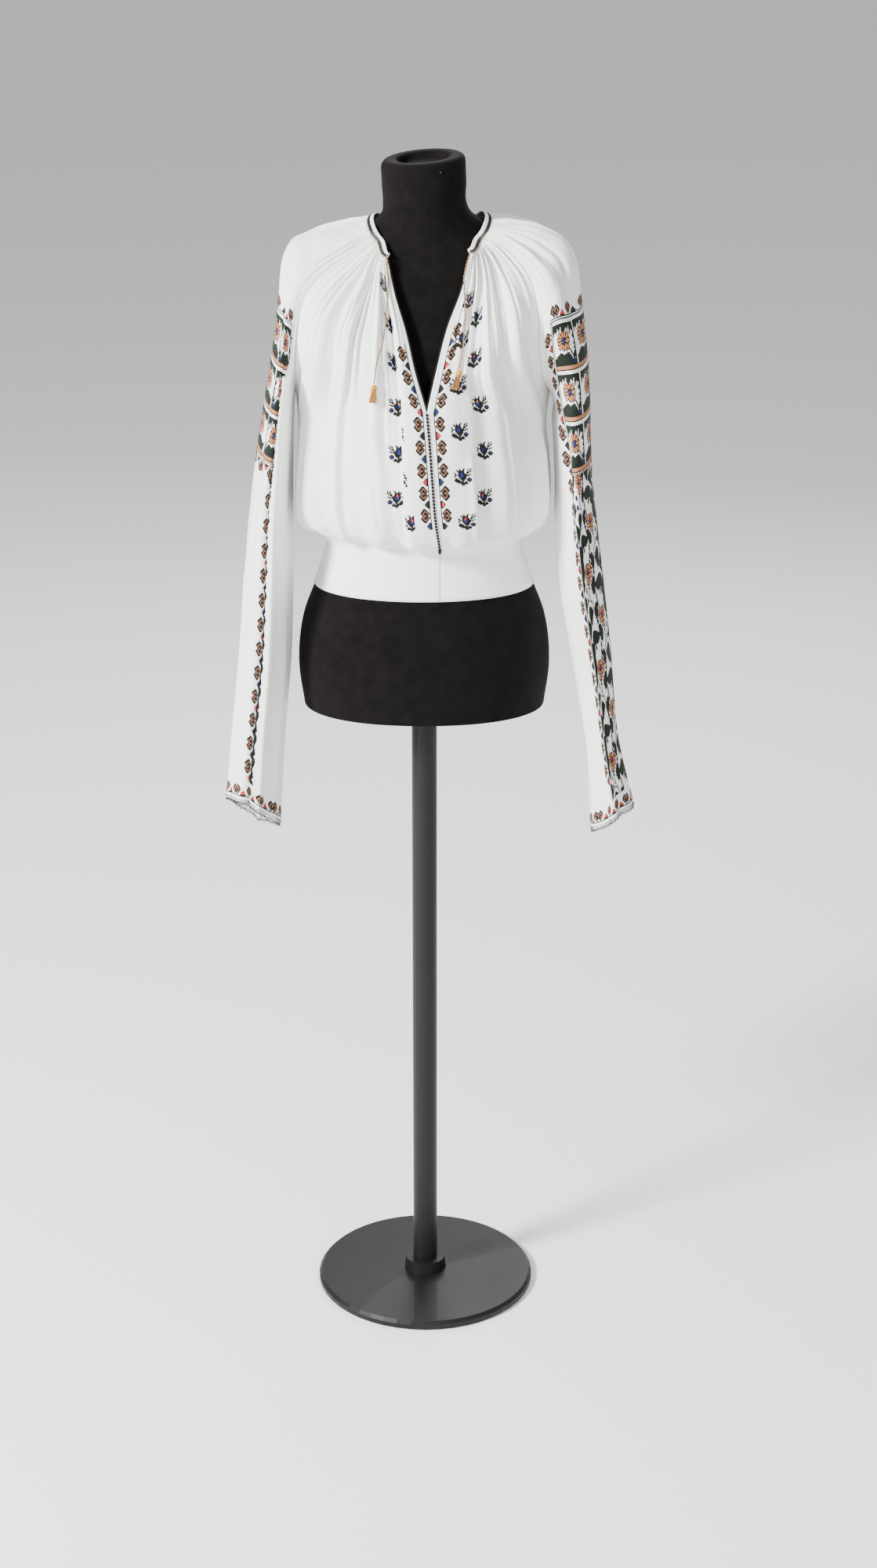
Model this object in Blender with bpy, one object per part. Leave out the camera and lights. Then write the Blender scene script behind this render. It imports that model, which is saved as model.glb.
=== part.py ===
"""Romanian ie blouse on a limbless dress form.

Metres, +Z up. The origin is on the floor, at the middle of the stand's foot, and the front faces -Y.
The wearer's right side is at -X. Tables are in millimetres and degrees, with their columns named.
"""

import math

import bmesh
import bpy
import numpy as np

MM = 0.001

CLOTH_WALL = 1.2
SEAM_GAP = 0.3
SEAM_SHARE = 0.6
CENTRE_SEAM_GAP = 0.5
TAIL_GAP = 0.9

BAND_WIDTH = 8.0
BAND_WALL = 2.0
BAND_RISE = 0.6
BAND_AXIS = (4.0, 0.0, 0.0)
EDGING_WIDTH = 2.5
EDGING_WALL = 1.8
SEAM_WIDTH = 3.2
SEAM_WALL = 1.4
CUFF_TOOTH = 4.5
CUFF_NOTCH = 2.2
CUFF_WALL = 1.2
CUFF_GAP = 0.4
TEETH = 28

TIE_THICK = 2.0
TIE_POINTS = 26
TASSEL_GAP = 0.85
TASSEL_HEAD = 6.0
TASSEL_HEAD_HALF = 3.6
TASSEL_LENGTH = 22.0
TASSEL_SPREAD = 2.0
TASSEL_FLATTEN = 0.7

FOOT_RADIUS = 145.0
FOOT_THICK = 12.0
POLE_RADIUS = 16.0
FORM_BOTTOM = 830.0
FORM_COLUMNS = 30

FRONT_COLUMNS = 28
BACK_COLUMNS = 32
SLEEVE_COLUMNS = 26
ROWS_TO_UNDERARM = 8
ROWS_TO_BLOUSE = 5
ROWS_TO_HEM = 4
ROWS_OF_SLEEVE = 12
ALTITA_ROW = 11

for old in list(bpy.data.objects):
    bpy.data.objects.remove(old)


# Curves through tables


def hermite(start, start_slope, end, end_slope, part):
    """A cubic between two points with the given slopes."""
    square, cube = part * part, part**3
    return (
        (2 * cube - 3 * square + 1) * start
        + (cube - 2 * square + part) * start_slope
        + (3 * square - 2 * cube) * end
        + (cube - square) * end_slope
    )


def through(rows, at):
    """A smooth curve through a table's rows, whose first column says how far along it each lies."""
    table = np.array(rows, float)
    knots, values = table[:, 0], table[:, 1:]
    slopes = np.gradient(values, knots, axis=0)
    at = min(max(at, knots[0]), knots[-1])
    low = min(int(np.searchsorted(knots, at, side="right")) - 1, len(knots) - 2)
    span = knots[low + 1] - knots[low]
    part = (at - knots[low]) / span
    return hermite(values[low], slopes[low] * span, values[low + 1], slopes[low + 1] * span, part)


def fade(value, start, end):
    """Rises smoothly from 0 at start to 1 at end."""
    part = min(max((value - start) / (end - start), 0.0), 1.0)
    return part * part * (3 - 2 * part)


def bump(value, middle, width):
    """A soft hill of height 1 at the middle."""
    return math.exp(-(((value - middle) / width) ** 2))


# The dress form's sections, from its flat bottom to its neck

FORM_SECTIONS = [
    # height, half_width, front, back, middle, exponent
    (830, 151, 110, 114, 0, 2.2),
    (880, 157, 114, 120, 0, 2.2),
    (940, 151, 108, 114, 0, 2.2),
    (1000, 129, 96, 94, 0, 2.1),
    (1040, 118, 92, 82, 0, 2.1),
    (1080, 122, 98, 83, 0, 2.1),
    (1150, 132, 112, 92, 0, 2.0),
    (1220, 141, 120, 101, 1, 2.0),
    (1270, 147, 111, 104, 2, 2.0),
    (1310, 153, 96, 102, 4, 2.0),
    (1345, 157, 80, 96, 5, 2.0),
    (1370, 152, 71, 86, 6, 2.0),
    (1388, 130, 62, 77, 6, 1.8),
    (1400, 108, 56, 69, 6, 1.65),
    (1411, 84, 51, 61, 6, 1.62),
    (1421, 69, 50, 56, 6, 1.65),
    (1430, 60, 50, 52, 5, 1.8),
    (1436, 53, 50, 51, 4, 1.9),
    (1445, 50, 50, 50, 2, 2.0),
    (1470, 50, 50, 50, 1, 2.0),
    (1492, 50, 50, 50, 0, 2.0),
]

NECK_TOP = [
    # height, radius: the rounded rim, then down into the shallow dish
    (1496.0, 49.0),
    (1499.0, 46.5),
    (1500.0, 43.0),
    (1500.0, 33.0),
    (1498.5, 31.2),
    (1491.0, 29.5),
]
NECK_TOP_TILT = (0.08, 0.09)
NECK_TOP_TILT_FROM = 1440.0


def form_point(height, angle, proud=0.0):
    """A point of the form's surface. The angle is 0 at the front and 90 at +X."""
    half_width, front, back, middle, exponent = through(FORM_SECTIONS, height)
    across, along = math.sin(math.radians(angle)), -math.cos(math.radians(angle))
    depth = (front if along < 0 else back) + proud
    power = 2.0 / exponent
    x = middle + (half_width + proud) * math.copysign(abs(across) ** power, across)
    y = depth * math.copysign(abs(along) ** power, along)
    return np.array([x, y, height])


# The sleeves: rings across the sleeve, from the neckband over the shoulder to the wrist.
# The crown is a ring's outermost point, and the inner point lies opposite it.
# A ring is open by its angle until the underarm, where along = 1, and a closed tube from there.

SLEEVE_RIGHT = [
    # along, crown_x, crown_z, inner_x, inner_z, front, back, middle_y, rise, open
    (0.00, -66, 1425, -44, 1405, 40, 47, 0, 7, 90),
    (0.14, -80, 1422, -62, 1396, 44, 55, 1, 5, 90),
    (0.30, -97, 1418, -82, 1374, 53, 62, 2, 4, 90),
    (0.50, -130, 1411, -113, 1338, 67, 78, 3, 2, 95),
    (0.68, -158, 1400, -134, 1297, 75, 82, 2, 0, 105),
    (0.80, -168, 1376, -144, 1266, 79, 82, 0, 0, 119),
    (0.90, -172, 1343, -150, 1246, 82, 82, -1, 0, 141),
    (1.00, -176, 1308, -155, 1222, 84, 82, -2, 0, 180),
    (1.25, -187, 1245, -158, 1186, 87, 82, -4, 0, 180),
    (1.50, -203, 1153, -160, 1122, 89, 82, -5, 0, 180),
    (1.80, -214, 1075, -161, 1060, 90, 81, -6, 0, 180),
    (2.10, -221, 1005, -162, 994, 90, 80, -7, -2, 180),
    (2.40, -230, 905, -166, 894, 88, 78, -6, -8, 180),
    (2.70, -242, 800, -176, 786, 85, 75, -5, -16, 180),
    (3.00, -253, 700, -185, 664, 82, 72, -4, -34, 180),
]

SLEEVE_LEFT = [
    (0.00, 80, 1427, 58, 1407, 40, 47, 0, 7, 90),
    (0.14, 93, 1426, 75, 1398, 44, 55, 1, 5, 90),
    (0.30, 110, 1423, 94, 1376, 53, 62, 2, 4, 90),
    (0.50, 142, 1416, 110, 1338, 71, 78, 3, 2, 97),
    (0.68, 171, 1400, 114, 1297, 83, 82, 2, 0, 108),
    (0.80, 183, 1376, 122, 1266, 88, 82, 0, 0, 122),
    (0.90, 189, 1338, 136, 1246, 88, 82, -1, 0, 145),
    (1.00, 194, 1300, 153, 1222, 84, 82, -2, 0, 180),
    (1.25, 200, 1236, 156, 1186, 87, 82, -4, 0, 180),
    (1.50, 204, 1146, 160, 1122, 89, 82, -5, 0, 180),
    (1.80, 212, 1068, 161, 1056, 90, 81, -6, 0, 180),
    (2.10, 222, 990, 168, 982, 88, 80, -7, -2, 180),
    (2.40, 234, 892, 186, 884, 85, 77, -6, -6, 180),
    (2.70, 245, 787, 204, 774, 81, 74, -3, -12, 180),
    (3.00, 268, 690, 214, 654, 76, 68, 0, -24, 180),
]

SLEEVE_FOLDS_RIGHT = [
    # angle, width, starts, ends, height: an angle of -90 faces the front
    (-88, 15, 1.35, 3.6, -9),
    (-125, 15, 1.5, 3.3, -4),
    (-50, 14, 0.25, 1.1, -6),
    (-22, 12, 0.15, 0.95, 4),
    (12, 13, 0.20, 1.0, -4),
    (48, 15, 0.20, 1.1, 4),
    (95, 13, 1.2, 3.4, -9),
    (60, 15, 1.5, 3.4, 4),
    (20, 18, 2.2, 3.5, -4),
]

SLEEVE_FOLDS_LEFT = [
    (-70, 16, 1.5, 3.4, -5),
    (-118, 14, 1.1, 3.3, -6),
    (-50, 14, 0.25, 1.1, -6),
    (-20, 12, 0.15, 0.95, 4),
    (14, 13, 0.20, 1.0, -4),
    (50, 15, 0.20, 1.1, 4),
    (92, 13, 1.2, 3.4, -9),
    (55, 15, 1.5, 3.4, 4),
    (15, 18, 2.3, 3.5, -4),
]

SLEEVE_GATHERS = 7


def sleeve_point(table, along, across):
    """The smooth sleeve. Across runs from 0 at the front seam over the crown to 1 at the back seam."""
    crown_x, crown_z, inner_x, inner_z, front, back, middle_y, rise, opened = through(table, along)
    angle = math.radians((2 * across - 1) * min(opened, 180.0))
    half_x, half_z = (crown_x - inner_x) / 2, (crown_z - inner_z) / 2
    turn, side = math.cos(angle), math.sin(angle)
    return np.array([
        inner_x + half_x * (1 + turn),
        middle_y + side * (front if side < 0 else back),
        inner_z + half_z * (1 + turn) + rise * side,
    ])


def sleeve_height(table, folds, along, across):
    """How far folds and gathers lift the cloth off the smooth sleeve."""
    angle = (2 * across - 1) * min(through(table, along)[-1], 180.0)
    height = 0.0
    for middle, width, starts, ends, lift in folds:
        reach = fade(along, starts, starts + 0.3) * (1 - fade(along, ends - 0.3, ends))
        height += lift * reach * bump(angle, middle, width)
    gathers = fade(along, 0.0, 0.22) * (1 - fade(along, 0.35, 0.8))
    edges = fade(across, 0.0, 0.08) * fade(1 - across, 0.0, 0.08)
    height += 1.6 * gathers * edges * math.cos(2 * math.pi * SLEEVE_GATHERS * across)
    return height


# The body: its front edges, its sides and its centre back.
# Down is 0 at the neckband, 1 at the underarm, 2 where the cloth blouses over, and 3 at the hem.

FRONT_EDGE_RIGHT = [
    # down, x, y, z
    (0.00, -42, -68, 1392),
    (0.25, -33, -87, 1353),
    (0.50, -20, -108, 1313),
    (0.75, -9, -125, 1268),
    (1.00, 4.5, -135, 1223),
]

FRONT_EDGE_LEFT = [
    (0.00, 55, -68, 1397),
    (0.25, 45, -86, 1358),
    (0.50, 28, -106, 1316),
    (0.75, 15, -125, 1268),
    (1.00, 4.5, -135, 1223),
]

CENTRE_FRONT = [
    (1.00, 4.5, -135, 1223),
    (1.25, 7.5, -137, 1188),
    (1.60, 11, -138, 1138),
    (1.85, 15, -134, 1090),
    (2.00, 19, -124, 1062),
    (2.15, 20, -111, 1053),
    (2.35, 19, -101, 1050),
    (3.00, 18, -99, 985),
]

SIDE_RIGHT = [
    (1.00, -155, -2, 1222),
    (1.25, -152, -4, 1186),
    (1.60, -153, -5, 1142),
    (1.85, -156, -5, 1094),
    (2.00, -153, -5, 1074),
    (2.15, -146, -4, 1063),
    (2.35, -134, -3, 1057),
    (3.00, -132, -2, 985),
]

SIDE_LEFT = [
    (1.00, 153, -2, 1222),
    (1.25, 149, -4, 1186),
    (1.60, 152, -5, 1142),
    (1.85, 154, -5, 1094),
    (2.00, 150, -5, 1074),
    (2.15, 143, -4, 1063),
    (2.35, 132, -3, 1057),
    (3.00, 132, -2, 985),
]

CENTRE_BACK = [
    (0.00, 7, 66, 1422),
    (0.25, 7, 88, 1394),
    (0.50, 6, 105, 1352),
    (0.75, 5, 115, 1302),
    (1.00, 4, 118, 1232),
    (1.25, 3, 119, 1190),
    (1.60, 2, 120, 1142),
    (1.85, 2, 118, 1096),
    (2.00, 2, 111, 1072),
    (2.15, 2, 101, 1061),
    (2.35, 2, 92, 1056),
    (3.00, 2, 90, 985),
]

TAIL_HEIGHTS = [
    # down, height: below the waist the cloth lies on the form
    (2.35, 1054),
    (2.60, 1038),
    (3.00, 985),
]
TAIL_FROM, TAIL_FULL = 2.30, 2.62

FRONT_FOLDS_RIGHT = [
    # across_top, across_bottom, width, starts, ends, height
    (0.16, 0.20, 0.045, 0.10, 2.3, -6),
    (0.04, 0.08, 0.060, 0.15, 2.3, 3),
    (0.40, 0.36, 0.060, 0.20, 2.2, -4),
    (0.30, 0.29, 0.055, 0.10, 2.2, 4),
    (0.62, 0.58, 0.050, 0.50, 2.4, -7),
    (0.52, 0.47, 0.070, 0.30, 2.2, 4),
    (0.80, 0.76, 0.090, 0.40, 2.2, 5),
]

FRONT_FOLDS_LEFT = [
    (0.12, 0.14, 0.060, 0.10, 1.6, 2),
    (0.34, 0.30, 0.050, 0.10, 2.2, -4),
    (0.47, 0.44, 0.060, 0.20, 2.2, 4),
    (0.62, 0.58, 0.060, 0.20, 2.3, -5),
    (0.76, 0.73, 0.070, 0.30, 2.2, 5),
    (0.88, 0.86, 0.050, 0.60, 2.2, -4),
]

FRONT_GATHERS = 7
WAIST_GATHERS = 6
BACK_GATHERS = 9


def row_arc(start, start_way, end, end_way, part):
    """A row of cloth from a front or centre edge round to the side."""
    length = np.linalg.norm(end - start)
    return hermite(start, start_way * length, end, end_way * length, part)


def unit(vector):
    return vector / np.linalg.norm(vector)


ROW_END_WAYS = [
    # down, outward, round, up: the way a row runs where it meets the sleeve or the side
    (0.00, 0.45, 0.75, 0.35),
    (0.25, 0.60, 0.55, 0.45),
    (0.50, 0.75, 0.50, 0.25),
    (0.75, 0.60, 0.80, 0.05),
    (1.00, 0.20, 0.98, 0.00),
    (1.25, 0.00, 1.00, 0.00),
    (3.00, 0.00, 1.00, 0.00),
]


def side_point(sleeve, side_table, side, down, seam):
    """Where a row ends at the side, and the way that it runs there: the sleeve's seam, then the side."""
    outward, round_side, up = through(ROW_END_WAYS, down)
    way = unit(np.array([side * outward, round_side * (1 - 2 * seam), up]))
    if down > 1:
        return through(side_table, down), way
    return sleeve_point(sleeve, down, seam), way


def body_point(edge, sleeve, side_table, side, seam, down, across):
    """The smooth body. Across runs from 0 at the front edge or centre back to 1 at the side.

    The edge is a pair of tables, above and below the underarm, and seam is 0 in front and 1 behind.
    """
    start = through(edge[1] if down >= 1 else edge[0], down)
    end, end_way = side_point(sleeve, side_table, side, down, seam)
    start_way = unit(np.array([side, 0.0, 0.12 * (1 - fade(down, 0.0, 1.0))]))
    bend = 1.0 + 0.12 * fade(down, 0.6, 1.2)
    point = row_arc(start, start_way * bend, end, end_way * bend, across)
    tail = fade(down, TAIL_FROM, TAIL_FULL)
    if tail > 0:
        height = through(TAIL_HEIGHTS, down)[0]
        if seam == 0:
            first = math.degrees(math.asin(start[0] / through(FORM_SECTIONS, height)[0]))
        else:
            first = side * 180.0
        angle = first + (side * 90.0 - first) * across
        worn = form_point(height, angle, CLOTH_WALL + TAIL_GAP)
        point = point * (1 - tail) + worn * tail
    return point


def front_height(folds, down, across):
    """How far folds and gathers lift the front off the smooth body."""
    height = 0.0
    for top, bottom, width, starts, ends, lift in folds:
        middle = top + (bottom - top) * fade(down, 0.0, 2.0)
        reach = fade(down, starts, starts + 0.35) * (1 - fade(down, ends - 0.3, ends))
        height += lift * reach * bump(across, middle, width)
    gathers = fade(down, 0.0, 0.2) * (1 - fade(down, 0.25, 0.7))
    waist = fade(down, 1.8, 2.1) * (1 - fade(down, 2.2, 2.5))
    height += 1.3 * gathers * math.cos(2 * math.pi * FRONT_GATHERS * across)
    height += 2.2 * waist * math.cos(2 * math.pi * WAIST_GATHERS * across + 1.0)
    return height * fade(across, 0.0, 0.07) * fade(1 - across, 0.0, 0.1)


def back_height(down, across):
    """The back's own even gathers, across from 0 at one side to 1 at the other."""
    gathers = fade(down, 0.0, 0.2) * (1 - fade(down, 0.3, 0.9))
    folds = fade(down, 0.4, 1.0) * (1 - fade(down, 2.1, 2.4))
    edges = fade(across, 0.0, 0.08) * fade(1 - across, 0.0, 0.08)
    wave = 1.6 * gathers * math.cos(2 * math.pi * BACK_GATHERS * across)
    wave += 3.0 * folds * math.cos(2 * math.pi * 5 * across + 0.6)
    return edges * wave


# Grids of points, and the walls made from them


def grid_of(point_at, downs, columns):
    return np.array([[point_at(down, i / columns) for i in range(columns + 1)] for down in downs])


def normals_of(grid, outward):
    """A unit normal at each point of a grid, facing out."""
    down = np.gradient(grid, axis=0)
    across = np.gradient(grid, axis=1)
    normal = np.cross(across, down) * outward
    return normal / np.linalg.norm(normal, axis=2, keepdims=True)


def lifted(point_at, height_at, downs, columns, outward):
    """The smooth grid moved out along its normals by the folds' heights, and the new normals."""
    smooth = grid_of(point_at, downs, columns)
    heights = np.array([[height_at(down, i / columns) for i in range(columns + 1)] for down in downs])
    folded = smooth + normals_of(smooth, outward) * heights[:, :, None]
    return folded, normals_of(folded, outward)


def shortened(vectors, length):
    return vectors / np.linalg.norm(vectors, axis=-1, keepdims=True) * length


def pulled_in_sides(grid, amount):
    """The grid with its first and last columns moved inward by about half a seam's gap."""
    moved = grid.copy()
    moved[:, 0] += shortened(grid[:, 1] - grid[:, 0], amount)
    moved[:, -1] += shortened(grid[:, -2] - grid[:, -1], amount)
    return moved


def seam(first, second, rows, first_column, second_column):
    """Parts two grids along a shared seam. Their edges move apart, and take the same normals."""
    sides = []
    for (grid, _), column in ((first, first_column), (second, second_column)):
        beside = 1 if column == 0 else column - 1
        sides.append(shortened(grid[rows, beside] - grid[rows, column], 1.0))
    apart = shortened(sides[0] - sides[1], SEAM_GAP * SEAM_SHARE)
    first[0][rows, first_column] += apart
    second[0][rows, second_column] -= apart
    mean = shortened(first[1][rows, first_column] + second[1][rows, second_column], 1.0)
    first[1][rows, first_column] = mean
    second[1][rows, second_column] = mean


def material(name, colour, roughness, metallic=0.0):
    made = bpy.data.materials.new(name)
    made.use_nodes = True
    shader = made.node_tree.nodes["Principled BSDF"]
    shader.inputs["Base Color"].default_value = (*colour, 1.0)
    shader.inputs["Roughness"].default_value = roughness
    shader.inputs["Metallic"].default_value = metallic
    return made


def body_from(name, points, faces, finish, smooth_angle=50.0):
    """One closed body, from points in millimetres, with its faces turned out."""
    mesh = bpy.data.meshes.new(name)
    work = bmesh.new()
    corners = [work.verts.new(tuple(float(value) * MM for value in point)) for point in points]
    for face in faces:
        work.faces.new([corners[index] for index in face])
    bmesh.ops.recalc_face_normals(work, faces=work.faces)
    work.to_mesh(mesh)
    work.free()
    mesh.shade_smooth()
    mesh.set_sharp_from_angle(angle=math.radians(smooth_angle))
    made = bpy.data.objects.new(name, mesh)
    made.data.materials.append(finish)
    bpy.context.scene.collection.objects.link(made)
    return made


def wall(name, outer, normals, thick, finish):
    """A sheet with a thickness: its outer grid, its inner grid, and a rim round its four edges.

    Each square is split along its shorter diagonal, the same way outside and inside.
    """
    rows, columns = outer.shape[:2]
    inner = outer - normals * thick
    points = np.concatenate([outer.reshape(-1, 3), inner.reshape(-1, 3)])
    below = rows * columns
    faces = []
    for row in range(rows - 1):
        for column in range(columns - 1):
            a = row * columns + column
            b, c, d = a + 1, a + columns + 1, a + columns
            if np.linalg.norm(points[a] - points[c]) > np.linalg.norm(points[b] - points[d]):
                a, b, c, d = b, c, d, a
            for corners in ((a, b, c), (a, c, d)):
                faces.append(corners)
                faces.append(tuple(below + corner for corner in reversed(corners)))
    rim = [(0, column) for column in range(columns)]
    rim += [(row, columns - 1) for row in range(1, rows)]
    rim += [(rows - 1, column) for column in range(columns - 2, -1, -1)]
    rim += [(row, 0) for row in range(rows - 2, 0, -1)]
    ring = [row * columns + column for row, column in rim]
    for here, there in zip(ring, ring[1:] + ring[:1]):
        faces.append((here, there, below + there, below + here))
    return body_from(name, points, faces, finish)


def strip(name, rails, finish):
    """A closed strip whose section is a ring of rails, each an equally long row of points."""
    count, length = len(rails), len(rails[0])
    points = [point for rail in rails for point in rail]
    faces = []
    for rail in range(count):
        beside = (rail + 1) % count
        for step in range(length - 1):
            a, b = rail * length + step, beside * length + step
            faces.append((a, a + 1, b + 1, b))
    faces.append(tuple(rail * length for rail in range(count)))
    faces.append(tuple(rail * length + length - 1 for rail in reversed(range(count))))
    return body_from(name, points, faces, finish)


COTTON = material("white_cotton", (0.88, 0.88, 0.85), 0.85)
BLACK_THREAD = material("black_thread", (0.012, 0.010, 0.009), 0.8)
TIE_THREAD = material("tan_twisted_thread", (0.42, 0.24, 0.10), 0.7)
GOLD_THREAD = material("gold_thread", (0.70, 0.38, 0.07), 0.65)
JERSEY = material("black_jersey", (0.012, 0.010, 0.010), 0.9)
STAND_PAINT = material("black_stand_paint", (0.015, 0.015, 0.016), 0.45, 0.3)


# Dress form: one jersey-covered body, on a pole in a round foot


def form_body():
    points, rings = [], []
    heights = [row[0] for row in FORM_SECTIONS]
    extra = [(low + high) / 2 for low, high in zip(heights[:5], heights[1:6])]
    for height in sorted(heights + extra):
        rings.append([form_point(height, 360 * i / FORM_COLUMNS) for i in range(FORM_COLUMNS)])
    for height, radius in NECK_TOP:
        turns = [2 * math.pi * i / FORM_COLUMNS for i in range(FORM_COLUMNS)]
        rings.append([np.array([radius * math.sin(t), -radius * math.cos(t), height]) for t in turns])
    for ring in rings:
        tilt = fade(ring[0][2], NECK_TOP_TILT_FROM, 1490.0)
        for point in ring:
            point[2] += tilt * (NECK_TOP_TILT[0] * point[0] + NECK_TOP_TILT[1] * point[1])
            points.append(point)
    count = FORM_COLUMNS
    faces = []
    for ring in range(len(rings) - 1):
        for i in range(count):
            a, b = ring * count + i, ring * count + (i + 1) % count
            faces.append((a, b, b + count, a + count))
    faces.append(tuple(range(count)))
    faces.append(tuple((len(rings) - 1) * count + i for i in range(count)))
    return body_from("form_body", points, faces, JERSEY)


def turned(name, profile, columns, finish):
    """A body turned about the Z axis, from rows of radius and height, closed flat at both ends."""
    points, faces = [], []
    for radius, height in profile:
        for i in range(columns):
            turn = 2 * math.pi * i / columns
            points.append((radius * math.sin(turn), -radius * math.cos(turn), height))
    for ring in range(len(profile) - 1):
        for i in range(columns):
            a, b = ring * columns + i, ring * columns + (i + 1) % columns
            faces.append((a, b, b + columns, a + columns))
    faces.append(tuple(range(columns)))
    faces.append(tuple((len(profile) - 1) * columns + i for i in range(columns)))
    return body_from(name, points, faces, finish, 35.0)


def stand():
    hub_radius, hub_top = POLE_RADIUS + 12.0, FOOT_THICK + 18.0
    foot = [
        (FOOT_RADIUS - 2.0, 0.0),
        (FOOT_RADIUS, 2.0),
        (FOOT_RADIUS, FOOT_THICK - 4.0),
        (FOOT_RADIUS - 4.0, FOOT_THICK),
        (hub_radius, FOOT_THICK + 2.0),
        (hub_radius - 2.0, hub_top),
    ]
    turned("form_foot", foot, 48, STAND_PAINT)
    pole = [(POLE_RADIUS, hub_top + SEAM_GAP), (POLE_RADIUS, FORM_BOTTOM - SEAM_GAP)]
    turned("form_pole", pole, 24, STAND_PAINT)


# The cloth panels


def steps(start, end, count):
    return [start + (end - start) * i / count for i in range(count)]


DOWNS = steps(0, 1, ROWS_TO_UNDERARM) + steps(1, 2, ROWS_TO_BLOUSE) + steps(2, 3, ROWS_TO_HEM) + [3.0]
ALONGS = steps(0, 1, ROWS_TO_UNDERARM) + steps(1, 3, ROWS_OF_SLEEVE) + [3.0]
UNDERARM = ROWS_TO_UNDERARM


def front_grid(side):
    edge, sleeve, beside, folds = (
        (FRONT_EDGE_RIGHT, SLEEVE_RIGHT, SIDE_RIGHT, FRONT_FOLDS_RIGHT)
        if side < 0
        else (FRONT_EDGE_LEFT, SLEEVE_LEFT, SIDE_LEFT, FRONT_FOLDS_LEFT)
    )
    edges = (edge, CENTRE_FRONT)
    return lifted(
        lambda down, across: body_point(edges, sleeve, beside, side, 0, down, across),
        lambda down, across: front_height(folds, down, across),
        DOWNS,
        FRONT_COLUMNS,
        -side,
    )


def back_grid():
    def point_at(down, across):
        side = -1 if across < 0.5 else 1
        sleeve, beside = (SLEEVE_RIGHT, SIDE_RIGHT) if side < 0 else (SLEEVE_LEFT, SIDE_LEFT)
        edges = (CENTRE_BACK, CENTRE_BACK)
        return body_point(edges, sleeve, beside, side, 1, down, abs(2 * across - 1))

    return lifted(point_at, back_height, DOWNS, BACK_COLUMNS, 1)


def sleeve_grid(side):
    table, folds = (
        (SLEEVE_RIGHT, SLEEVE_FOLDS_RIGHT) if side < 0 else (SLEEVE_LEFT, SLEEVE_FOLDS_LEFT)
    )
    return lifted(
        lambda along, across: sleeve_point(table, along, across),
        lambda along, across: sleeve_height(table, folds, along, across),
        ALONGS,
        SLEEVE_COLUMNS,
        -side,
    )


def cut_across(grid, normals, row):
    """A sleeve as its shoulder piece, the altita, and the piece below it, parted along a row."""
    upper, lower = grid[: row + 1].copy(), grid[row:].copy()
    upper[-1] += shortened(grid[row - 1] - grid[row], SEAM_GAP)
    lower[0] += shortened(grid[row + 1] - grid[row], SEAM_GAP)
    return (upper, normals[: row + 1]), (lower, normals[row:])


def blouse():
    """The fronts, the back, and the sleeves with their altitas, parted at their seams."""
    fronts = {side: front_grid(side) for side in (-1, 1)}
    sleeves = {side: sleeve_grid(side) for side in (-1, 1)}
    back = back_grid()
    raglan, below = slice(0, UNDERARM), slice(UNDERARM, None)
    for side, edge in ((-1, 0), (1, BACK_COLUMNS)):
        seam(fronts[side], sleeves[side], raglan, FRONT_COLUMNS, 0)
        seam(back, sleeves[side], raglan, edge, SLEEVE_COLUMNS)
        seam(fronts[side], back, below, FRONT_COLUMNS, edge)
        seam(sleeves[side], sleeves[side], below, 0, SLEEVE_COLUMNS)
        towards_body = np.array([-side * SEAM_GAP * SEAM_SHARE, 0.0, 0.0])
        fronts[side][0][UNDERARM, -1] += towards_body
        back[0][UNDERARM, edge] += towards_body
        sleeves[side][0][UNDERARM, (0, -1)] -= towards_body
    seam(fronts[-1], fronts[1], below, 0, 0)
    named = {"front_right": fronts[-1], "front_left": fronts[1], "back": back}
    for side, side_name in ((-1, "right"), (1, "left")):
        shoulder, arm = cut_across(*sleeves[side], ALTITA_ROW)
        named["altita_" + side_name] = shoulder
        named["sleeve_" + side_name] = arm
    for name, (grid, normals) in named.items():
        wall(name, grid, normals, CLOTH_WALL, COTTON)
    return fronts, sleeves, back


# Neckband, edgings and the knotted centre seam, made from the panels' points


def neckline(fronts, sleeves, back):
    """The panels' gathered top edges in order, from the front's right end round the back to its left."""
    front_step, sleeve_step, back_step = FRONT_COLUMNS // 7, SLEEVE_COLUMNS // 13, BACK_COLUMNS // 8
    pieces = [
        (fronts[-1], slice(0, None, front_step)),
        (sleeves[-1], slice(sleeve_step, None, sleeve_step)),
        (back, slice(back_step, None, back_step)),
        (sleeves[1], slice(-1 - sleeve_step, None, -sleeve_step)),
        (fronts[1], slice(-1 - front_step, None, -front_step)),
    ]
    points = np.concatenate([grid[0, which] for (grid, _), which in pieces])
    normals = np.concatenate([normal[0, which] for (_, normal), which in pieces])
    return points, normals


def neckband(points, normals):
    """The band runs on from the gathered edge towards the neck, rising as the form does."""
    along = np.gradient(points, axis=0)
    along /= np.linalg.norm(along, axis=1, keepdims=True)
    inward = BAND_AXIS - points
    inward[:, 2] = 0
    inward /= np.linalg.norm(inward, axis=1, keepdims=True)
    inward[:, 2] = BAND_RISE
    inward -= along * np.sum(along * inward, axis=1, keepdims=True)
    inward /= np.linalg.norm(inward, axis=1, keepdims=True)
    out = np.cross(inward, along)
    out *= np.sign(out[:, 2:])
    middle = points - normals * CLOTH_WALL / 2
    low, high = middle + inward * (SEAM_GAP + 0.3), middle + inward * BAND_WIDTH
    half = out * BAND_WALL / 2
    strip("neckband", [low + half, high + half, high - half, low - half], COTTON)


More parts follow.
